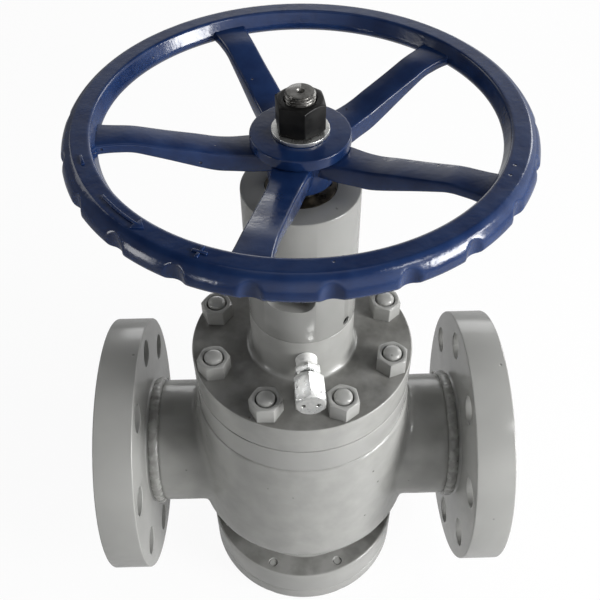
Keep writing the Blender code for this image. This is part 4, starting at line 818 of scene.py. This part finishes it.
def chamferedHex(name, sizes, bothEnds=False, soften=0.35, base=axisHeight):
    # a hexagon turned to a cone at its top, or at both ends, with a chamfered bore
    flats, low, high, bore = (sizes[key] for key in ("flats", "low", "high", "bore"))
    nut = looseObject(name, prism(6, flats, low, high, base=base))
    corner = flats / 2 / math.cos(math.pi / 6)
    edge = flats / 2 * 0.96
    wide, drop = corner + 1, (corner - edge) * 0.62 + 0.6
    foot = [(wide, low + drop), (edge, low)] if bothEnds else [(wide, low)]
    turning = spinShape([(0, high), (edge, high), (wide, high - drop)] + foot + [(0, low)], 120, base=base)
    chamfer, past = 0.7, 5
    cut = spinShape([(0, high + past), (bore + chamfer + past, high + past), (bore + chamfer, high),
                     (bore, high - chamfer), (bore, low - past), (0, low - past)], 64, base=base)
    combine(nut, [("INTERSECT", turning), ("DIFFERENCE", cut)])
    return softenEdges(nut, soften, 25, 2)


def makeStudsAndNuts(stud, nut):
    line = [(stud["radius"] * share, stud["top"] - drop) for share, drop in stud["dome"]]
    line += [(stud["radius"], stud["low"]), (0, stud["low"])]
    studMesh = looseObject("studShape", spinShape(line, 48))
    nutMesh = chamferedHex("nutShape", nut)
    patterns = [(studMesh, "stud_end", "bonnet_stud"), (nutMesh, "hex_nut", "bonnet_nut")]
    spots = ringSpots(stud["circle"], stud["count"], 180 / stud["count"])
    for k, (x, y) in enumerate(spots):
        place = shift(x, y, 0) @ swing(nut["turns"][k])
        for pattern, name, node in patterns:
            mesh = pattern.data.copy()
            mesh.transform(place)
            piece = bpy.data.objects.new(name, mesh)
            bpy.context.scene.collection.objects.link(piece)
            finishPiece(piece, f"{name}_{k + 1}", rootBody, greyTurned, [f"{node}_{k + 1}"])
    bpy.data.objects.remove(studMesh)
    bpy.data.objects.remove(nutMesh)


makeBonnet(bonnetSizes)
makeStudsAndNuts(studSizes, nutSizes)
print("bonnet, studs and nuts done")


# yoke

yokeSizes = {
    "radius": 38.0, "bore": 29.0, "bottom": 169.35, "top": 277.0, "headBottom": 248.0,
    "recess": 22.8, "recessFloor": 271.7, "nutHole": 17.8,
    "windowTurns": (-105.0, 75.0), "windowWidth": 35.0, "windowLow": 200.3, "windowHigh": 244.3,
    "windowCorner": 9.0, "windowDepth": 27.0, "windowMiddle": 33.5,
    "screwTurn": -37.6, "screwHeight": 175.3, "screwHole": 3.3, "screwStart": 26.0, "screwEnd": 45.0,
}
yokeNutSizes = {
    "flange": 22.4, "flangeLow": 272.0, "radius": 17.5, "low": 243.0, "bore": 12.45, "top": 276.9,
    "spannerHole": 2.0, "spannerDepth": 3.5, "spannerCircle": 17.4,
}
glandSizes = {"flats": 46.0, "low": 192.3, "high": 203.3, "bore": 12.4}


def makeYoke(sizes):
    bore, hole, recess, radius = sizes["bore"], sizes["nutHole"], sizes["recess"], sizes["radius"]
    top, head, floor, bottom = sizes["top"], sizes["headBottom"], sizes["recessFloor"], sizes["bottom"]
    outline = softProfile([(bore, bottom), (bore, head, 2.0), (hole, head), (hole, floor), (recess, floor),
                           (recess, top, 0.4), (radius, top, 0.9), (radius, bottom, 0.6)], 0, closed=True)
    yoke = looseObject("yokeTube", spinShape(outline, 160, closed=True))
    changes = []
    for turn in sizes["windowTurns"]:
        window = roundWindow(sizes["windowWidth"], sizes["windowLow"], sizes["windowHigh"],
                             sizes["windowCorner"], sizes["windowDepth"])
        window.transform(swing(turn) @ shift(sizes["windowMiddle"], 0, 0))
        changes.append(("DIFFERENCE", window))
    screwWay = prism(32, sizes["screwHole"] * 2, sizes["screwStart"], sizes["screwEnd"], base=0)
    screwWay.transform(outward(sizes["screwTurn"], sizes["screwHeight"]))
    changes.append(("DIFFERENCE", screwWay))
    combine(yoke, changes)
    softenEdges(yoke, 0.5, 40, 2)
    finishPiece(yoke, "yoke_tube", rootBody, greyYokePaintedShade, ["yoke"])


def makeYokeNut(sizes):
    bore, flange, radius = sizes["bore"], sizes["flange"], sizes["radius"]
    top, shoulder, low = sizes["top"], sizes["flangeLow"], sizes["low"]
    outline = softProfile([(bore, top, 0.6), (flange, top, 0.5), (flange, shoulder), (radius, shoulder),
                           (radius, low, 0.6), (bore, low)], 0, closed=True)
    nut = looseObject("yokeNut", spinShape(outline, 128, closed=True))
    spots = ringSpots(sizes["spannerCircle"], 2, 0)
    spanner = holes(sizes["spannerHole"], top - sizes["spannerDepth"], top, spots, 0.3)
    combine(nut, [("DIFFERENCE", spanner)])
    finishPiece(nut, "yoke_nut_ring", rootBody, bronzeMetal, ["yoke_nut"])


makeYoke(yokeSizes)
makeYokeNut(yokeNutSizes)
glandNut = chamferedHex("glandNut", glandSizes)
finishPiece(glandNut, "gland_hex", rootBody, zincPlate, ["gland_nut"])
print("yoke done")


# stem with its two threads

stemSizes = {
    "radius": 12.0, "top": 343.8, "endRadius": 9.0, "shoulder": 315.8, "square": 18.0,
    "squareLow": 283.9, "collarHigh": 54.7, "collarLow": 49.2, "collarRadius": 15.5,
    "spindle": 10.0, "headTop": 26.4, "headLow": 18.4, "headRadius": 16.5,
    "threadLow": 205.0, "threadHigh": 283.0, "pitch": 5.0, "depth": 2.2, "fade": 3.0, "step": 0.5,
    "endThreadLow": 320.0, "endPitch": 2.0, "endDepth": 1.0, "endStep": 0.25, "endFlat": 0.16,
    # radius and drop from the top, through the centre hole and over the chamfer
    "tip": [(0, 5.0), (1.125, 4.5), (1.25, 2.2), (2.5, 0), (7.9, 0), (8.8, 0.9)],
    "tipDrop": 1.2, "flatDepth": 8.0, "flatWidth": 40.0,
}


def threadDip(turns, flat=0.3):
    # 0 on the crest, 1 in the root, with sloping flanks
    share = turns % 1.0
    rise = (1 - 2 * flat) / 2
    if share < flat:
        return 0.0
    if share < flat + rise:
        return (share - flat) / rise
    if share < 2 * flat + rise:
        return 1.0
    return 1 - (share - 2 * flat - rise) / rise


def stepsDown(radius, high, low, step):
    # points down a straight side, close enough to cut a thread into it
    points = []
    a = high
    while a > low:
        points.append((radius, a))
        a -= step
    return points


def stemLine(sizes):
    end, shaft, collar = sizes["endRadius"], sizes["radius"], sizes["collarRadius"]
    spindle, high, top = sizes["spindle"], sizes["threadHigh"], sizes["top"]
    line = [(radius, top - drop) for radius, drop in sizes["tip"]]
    line += stepsDown(end, top - sizes["tipDrop"], sizes["endThreadLow"], sizes["endStep"])
    line += [(end, sizes["shoulder"]), (shaft, sizes["shoulder"]), (shaft, high + 0.6)]
    line += stepsDown(shaft, high, sizes["threadLow"], sizes["step"])
    return line + [(shaft, sizes["collarHigh"]), (collar, sizes["collarHigh"]),
                   (collar, sizes["collarLow"]), (spindle, sizes["collarLow"]), (spindle, sizes["headTop"]),
                   (sizes["headRadius"], sizes["headTop"]), (sizes["headRadius"], sizes["headLow"]),
                   (0, sizes["headLow"])]


def makeStem(sizes):
    low, high, top = sizes["threadLow"], sizes["threadHigh"], sizes["top"]
    bm = spinShape(stemLine(sizes), 96)
    for vert in bm.verts:
        a = vert.co.z / mm - axisHeight
        radius = math.hypot(vert.co.x, vert.co.y) / mm
        turns = math.atan2(vert.co.y, vert.co.x) / math.tau
        dip = 0
        if low < a <= high and radius > sizes["radius"] - 1:
            fade = min((a - low) / sizes["fade"], (high - a) / sizes["fade"], 1)
            dip = sizes["depth"] * fade * threadDip(a / sizes["pitch"] - turns)
        if sizes["endThreadLow"] < a < top - 0.4 and radius > sizes["endRadius"] - 2:
            dip = sizes["endDepth"] * threadDip(a / sizes["endPitch"] - turns, sizes["endFlat"])
        if dip:
            grow = (radius - dip) / radius
            vert.co.x *= grow
            vert.co.y *= grow
    stem = looseObject("stemRod", bm)
    flats = []
    for k in range(4):
        flat = block(sizes["flatDepth"], sizes["flatWidth"], sizes["squareLow"], sizes["shoulder"])
        flat.transform(swing(90 * k) @ shift((sizes["square"] + sizes["flatDepth"]) / 2, 0, 0))
        flats.append(("DIFFERENCE", flat))
    combine(stem, flats)
    finishPiece(stem, "stem_rod", stemBody, stemSteel, ["stem"], sharp=50)


makeStem(stemSizes)
print("stem done")


# handwheel

wheelSizes = {
    "rimOuter": 137.0, "rimTop": 329.5, "rimSteps": 792,
    # radius, drop from the rim's top, size of the rounded corner
    "rimLine": [(119.4, 0, 1.3), (130.0, 0, 0.7), (132.7, 1.7, 1.2), (135.0, 4.5, 1.6), (136.5, 8.0, 1.6),
                (137.0, 11.6, 1.2), (135.8, 14.1, 1.0), (119.5, 14.1, 2.0), (115.8, 9.9, 2.0)],
    "notches": 22, "notchTurn": -85.2, "notchDepth": 3.1, "notchHalf": 6.2, "notchSoft": 0.35,
    "notchReach": 3.0, "plainInside": 130.5,
    # radius, height, size of the rounded corner
    "hubLine": [(0, 317.0), (30.1, 317.0, 1.0), (30.1, 310.0, 1.0), (24.0, 308.0, 2.0), (21.5, 298.0, 2.0),
                (20.5, 284.3, 1.0), (0, 284.3)],
    "squareHole": 18.6, "squareLow": 270.0, "squareHigh": 330.0,
    "spokeTurn": 184.5, "spokes": 5, "spokeWidth": 20.6, "spokeEdge": 1.5, "spokeSteps": 72, "spokeTop": 0.96,
    # radius, top height, underside height, half width factor of each spoke
    "spokeLine": [(10, 309.3, 297.5, 1.2), (30, 309.3, 297.7, 1.12), (40, 309.9, 298.2, 1.0),
                  (50, 311.3, 299.0, 0.96), (59, 313.8, 302.0, 0.95), (78, 317.9, 309.4, 0.95),
                  (97, 322.6, 316.4, 0.96), (112, 323.4, 317.5, 1.04), (120, 323.6, 317.4, 1.2),
                  (127, 323.6, 317.0, 1.2)],
}


def tableValue(table, radius, column):
    # straight lines between the table's rows
    for before, after in zip(table, table[1:]):
        if radius <= after[0]:
            share = (radius - before[0]) / (after[0] - before[0])
            return before[column] + (after[column] - before[column]) * max(share, 0)
    return table[-1][column]


def smoothLine(table, radius, column):
    # the same lines with their bends eased over 8 mm
    offsets = (-4, -2.7, -1.3, 0, 1.3, 2.7, 4)
    return sum(tableValue(table, radius + step, column) for step in offsets) / len(offsets)


def denser(points, longest):
    # a closed line with every side cut to pieces no longer than longest
    done = []
    for here, there in zip(points, points[1:] + points[:1]):
        count = max(1, math.ceil((there - here).length / longest))
        done += [here + (there - here) * (k / count) for k in range(count)]
    return done


def rimShape(sizes):
    # the turned rim, with a round notch cut by a soft limit on the radius at each step of the pitch
    outer, soft = sizes["rimOuter"], sizes["notchSoft"]
    line = [(radius, sizes["rimTop"] - drop, corner) for radius, drop, corner in sizes["rimLine"]]
    bm = spinShape(denser(softProfile(line, 0, closed=True, bend=3), 1.0), sizes["rimSteps"], closed=True)
    depth, half = sizes["notchDepth"], sizes["notchHalf"]
    curve = (half * half + depth * depth) / (2 * depth)
    pitch = math.tau / sizes["notches"]
    start = math.radians(sizes["notchTurn"])
    for vert in bm.verts:
        radius = math.hypot(vert.co.x, vert.co.y) / mm
        turn = (math.atan2(vert.co.y, vert.co.x) - start + pitch / 2) % pitch - pitch / 2
        across = abs(turn) * outer
        if radius < sizes["plainInside"] or across >= curve * 0.99:
            continue
        cut = outer - depth + curve - math.sqrt(curve * curve - across * across)
        if cut - radius > sizes["notchReach"]:
            continue
        eased = cut - soft * math.log(math.exp((cut - radius) / soft) + 1)
        grow = min(eased, radius) / radius
        vert.co.x *= grow
        vert.co.y *= grow
    return bm


def spokeShape(sizes):
    table = sizes["spokeLine"]
    inner, outer = table[0][0], table[-1][0]
    bm = bmesh.new()
    bmesh.ops.create_grid(bm, x_segments=sizes["spokeSteps"], y_segments=1, size=1.0)
    bmesh.ops.solidify(bm, geom=bm.faces[:], thickness=1.0)
    zLow = min(vert.co.z for vert in bm.verts)
    zHigh = max(vert.co.z for vert in bm.verts)
    for vert in bm.verts:
        radius = inner + (outer - inner) * (vert.co.x + 1) / 2
        half = sizes["spokeWidth"] / 2 * smoothLine(table, radius, 3)
        upper = (vert.co.z - zLow) / (zHigh - zLow)
        height = smoothLine(table, radius, 1) * upper + smoothLine(table, radius, 2) * (1 - upper)
        across = (half if vert.co.y > 0 else -half) * (sizes["spokeTop"] if upper > 0.5 else 1.0)
        vert.co = Vector((radius, across, axisHeight + height)) * mm
    bmesh.ops.recalc_face_normals(bm, faces=bm.faces[:])
    lines = [edge for edge in bm.edges if edge.verts[0].co.y * edge.verts[1].co.y > 0
             and abs(edge.verts[0].co.x - edge.verts[1].co.x) > 1e-6]
    roundEdges(bm, lines, sizes["spokeEdge"], 3)
    return bm


def makeHandwheel(sizes):
    wheel = looseObject("wheelShape", rimShape(sizes))
    changes = [("UNION", spinShape(softProfile(sizes["hubLine"], 0), 128))]
    for k in range(sizes["spokes"]):
        spoke = spokeShape(sizes)
        spoke.transform(swing(sizes["spokeTurn"] + 360 / sizes["spokes"] * k))
        changes.append(("UNION", spoke))
    square = prism(4, sizes["squareHole"], sizes["squareLow"], sizes["squareHigh"], 45)
    combine(wheel, changes + [("DIFFERENCE", square)], "MANIFOLD")
    finishPiece(wheel, "handwheel_casting", stemBody, blueCast, ["handwheel"], sharp=38)


rimMarkSizes = {
    "radius": 125.2, "base": 329.0, "top": 330.4, "line": 1.8, "half": 4.1, "edge": 0.22,
    "plusTurn": 246.0, "minusTurn": 199.0, "arrowStart": 214.5, "arrowEnd": 228.0, "arrowSteps": 12,
    "headLength": 6.0,
}


def makeRimMarks(sizes):
    # a plus, a minus and an arrow standing on the flat of the rim
    radius, low, high = sizes["radius"], sizes["base"], sizes["top"]
    line, half, steps = sizes["line"], sizes["half"], sizes["arrowSteps"]
    bm = bmesh.new()
    for turn in (sizes["plusTurn"], sizes["minusTurn"]):
        joinInto(bm, block(line, 2 * half, low, high), swing(turn) @ shift(radius, 0, 0))
    for side in (-1, 1):
        place = swing(sizes["plusTurn"]) @ shift(radius + side * (half + line / 2) / 2, 0, 0)
        joinInto(bm, block(half - line / 2, line, low, high), place)
    start, end = math.radians(sizes["arrowStart"]), math.radians(sizes["arrowEnd"])
    turns = [start + (end - start) * k / steps for k in range(steps + 1)]
    head = [(radius + half, end), (radius, end + sizes["headLength"] / radius), (radius - half, end)]
    ring = [(radius + line / 2, t) for t in turns] + head + [(radius - line / 2, t) for t in reversed(turns)]
    level = (axisHeight + low) * mm
    floor = [bm.verts.new((r * math.cos(t) * mm, r * math.sin(t) * mm, level)) for r, t in ring]
    raised = bmesh.ops.extrude_face_region(bm, geom=[bm.faces.new(floor)])["geom"]
    bmesh.ops.translate(bm, vec=(0, 0, (high - low) * mm),
                        verts=[item for item in raised if isinstance(item, bmesh.types.BMVert)])
    bmesh.ops.recalc_face_normals(bm, faces=bm.faces[:])
    marks = softenEdges(looseObject("rimMarks", bm), sizes["edge"], 40, 2)
    finishPiece(marks, "rim_marks", stemBody, blueCast, sharp=50)


makeHandwheel(wheelSizes)
makeRimMarks(rimMarkSizes)
print("handwheel done")


# washer and nut on the wheel

washerSizes = {"bore": 9.3, "radius": 17.2, "top": 319.7, "bottom": 317.3, "corner": 0.4}
wheelNutSizes = {"flats": 27.0, "low": 320.0, "high": 339.2, "bore": 9.2, "turn": 8.0}


def makeWasher(sizes):
    bore, radius, corner = sizes["bore"], sizes["radius"], sizes["corner"]
    top, bottom = sizes["top"], sizes["bottom"]
    outline = softProfile([(bore, top), (radius, top, corner), (radius, bottom, corner), (bore, bottom)],
                          0, closed=True)
    washer = looseObject("washerShape", spinShape(outline, 96, closed=True))
    finishPiece(washer, "wheel_washer_plate", stemBody, zincPlate, ["wheel_washer"])


def makeWheelNut(sizes):
    nut = chamferedHex("wheelNutShape", sizes, True, 0.45)
    nut.data.transform(swing(sizes["turn"]))
    finishPiece(nut, "wheel_nut_hex", stemBody, blackOxide, ["wheel_nut"])


makeWasher(washerSizes)
makeWheelNut(wheelNutSizes)


# grease fitting; low, high, start and end of its pieces are distances from the stem, mm

fittingSizes = {"turn": -87.0, "height": 152.0, "hexTurn": 30.0}
tapeSizes = {
    "start": 38.0, "end": 46.6, "radius": 7.6, "thread": 6.2, "steps": 30, "taper": 0.7,
    # height of a ridge and its turn from one step to the next
    "ridges": [(0.14, 1.9), (0.1, 0.7)], "crumple": 0.02,
}
nippleSizes = {"flats": 17.0, "low": 46.9, "high": 53.9, "bore": 2.0}
capSizes = {
    "flats": 20.4, "low": 54.3, "high": 78.0, "past": 0.6, "topIn": 0.6, "topDrop": 2.2,
    "footIn": 2.2, "footRise": 4.2, "ventRadius": 1.55, "ventCircle": 5.0, "ventTurn": 60.0, "ventDepth": 4.0,
}


def makeTape(sizes, place):
    line = [(sizes["thread"], sizes["start"])]
    for k in range(sizes["steps"] + 1):
        share = k / sizes["steps"]
        ridge = sum(height * math.sin(k * turn) for height, turn in sizes["ridges"])
        line.append((sizes["radius"] - sizes["taper"] * share + ridge,
                     sizes["start"] + (sizes["end"] - sizes["start"]) * share))
    line.append((sizes["thread"], sizes["end"]))
    tape = spinShape(line, 64, closed=True, base=0)
    for vert in tape.verts:
        vert.co.x *= 1 + sizes["crumple"] * noise.noise(vert.co * 260)
        vert.co.y *= 1 + sizes["crumple"] * noise.noise(vert.co * 260 + Vector((5, 0, 0)))
    tape.transform(place)
    finishPiece(looseObject("tapeWrap", tape), "tape_wrap", rootBody, tapeMat, ["fitting_tape"])


def makeNipple(sizes, place):
    nipple = chamferedHex("nippleHex", sizes, True, 0.3, base=0)
    nipple.data.transform(place)
    finishPiece(nipple, "nipple_hex", rootBody, zincPlate, ["fitting_nipple"])


def makeCap(sizes, place):
    low, high, face = sizes["low"], sizes["high"], sizes["flats"] / 2
    wide = face / math.cos(math.pi / 6) + sizes["past"]
    cap = looseObject("capHex", prism(6, sizes["flats"], low, high, base=0))
    line = [(0, high), (face - sizes["topIn"], high), (wide, high - sizes["topDrop"]),
            (wide, low + sizes["footRise"]), (face - sizes["footIn"], low), (0, low)]
    turning = spinShape(line, 96, base=0)
    spots = ringSpots(sizes["ventCircle"], 2, sizes["ventTurn"])
    vents = holes(sizes["ventRadius"], high - sizes["ventDepth"], high, spots, 0.2, base=0, steps=20)
    combine(cap, [("INTERSECT", turning), ("DIFFERENCE", vents)])
    softenEdges(cap, 0.18, 32, 2)
    cap.data.transform(place)
    finishPiece(cap, "grease_cap_hex", rootBody, zincPlate, ["fitting_cap"])


fittingPlace = outward(fittingSizes["turn"], fittingSizes["height"])
hexPlace = fittingPlace @ swing(fittingSizes["hexTurn"])
makeTape(tapeSizes, fittingPlace)
makeNipple(nippleSizes, hexPlace)
makeCap(capSizes, hexPlace)
print("small pieces done")


# finishes of the CAD nodes that stay as they are; where two starts fit a name, the later one counts

keptFinishes = {
    "foot_screw": blackOxide, "yoke_lock_screw": blackOxide, "throttle_cage": stemSteel, "plug": stemSteel,
    "lantern": stemSteel, "packing_washer": stemSteel, "gland": stemSteel, "seat_ring": stemSteel,
    "backseat": stemSteel, "plug_lock": stemSteel, "packing_ring": graphiteMat, "bonnet_gasket": graphiteMat,
    "foot_gasket": graphiteMat, "seat_gasket": graphiteMat, "plug_seal": tapeMat,
}
for nodeName, node in cadNodes.items():
    chosen = [finish for start, finish in keptFinishes.items() if nodeName.startswith(start)]
    if chosen and not node.hide_render:
        node.data.materials.clear()
        node.data.materials.append(chosen[-1])


# floor

floorLook = {
    "size": 6.0, "dark": (0.86, 0.86, 0.86), "light": (0.88, 0.88, 0.88), "mirrored": (0.30, 0.30, 0.30),
    "speckle": 30.0, "rough": 0.6, "seen": 0.94,
    # share of glow in mirrored rays at the left and right places, metres
    "leftPlace": -0.9, "rightPlace": 0.3, "leftGlow": 0.09, "rightGlow": 0.36,
}


def addFloor(look):
    # white where the camera sees it, darker where the valve mirrors it: in mirrored rays it is a painted
    # reflection, dark on the left and brighter on the right
    bm = bmesh.new()
    bmesh.ops.create_grid(bm, x_segments=1, y_segments=1, size=look["size"])
    floor = looseObject("paleFloor", bm)
    material, kit, shader = startMaterial("paleFloor")
    place = kit.add("TexCoord").outputs["Object"]
    speckle = kit.add("TexNoise", Vector=place, Scale=look["speckle"], Detail=2.0)
    path = kit.add("LightPath").outputs
    colour = kit.mix(speckle.outputs["Fac"], look["dark"], look["light"])
    colour = kit.mix(path["Is Glossy Ray"], colour, look["mirrored"])
    kit.tree.links.new(colour, shader.inputs["Base Color"])
    shader.inputs["Roughness"].default_value = look["rough"]
    straight = kit.math("MAXIMUM", path["Is Camera Ray"], path["Is Transmission Ray"])
    across = kit.add("SeparateXYZ", Vector=place).outputs["X"]
    glow = kit.ramp(across, look["leftPlace"], look["rightPlace"], look["leftGlow"], look["rightGlow"])
    glow = kit.math("MULTIPLY", path["Is Glossy Ray"], glow)
    share = kit.math("MULTIPLY_ADD", straight, look["seen"], glow)
    both = kit.blend(share, shader, kit.add("Emission"))
    kit.tree.links.new(both.outputs[0], kit.tree.nodes["Material Output"].inputs["Surface"])
    floor.data.materials.append(material)


addFloor(floorLook)
print("scene ready")
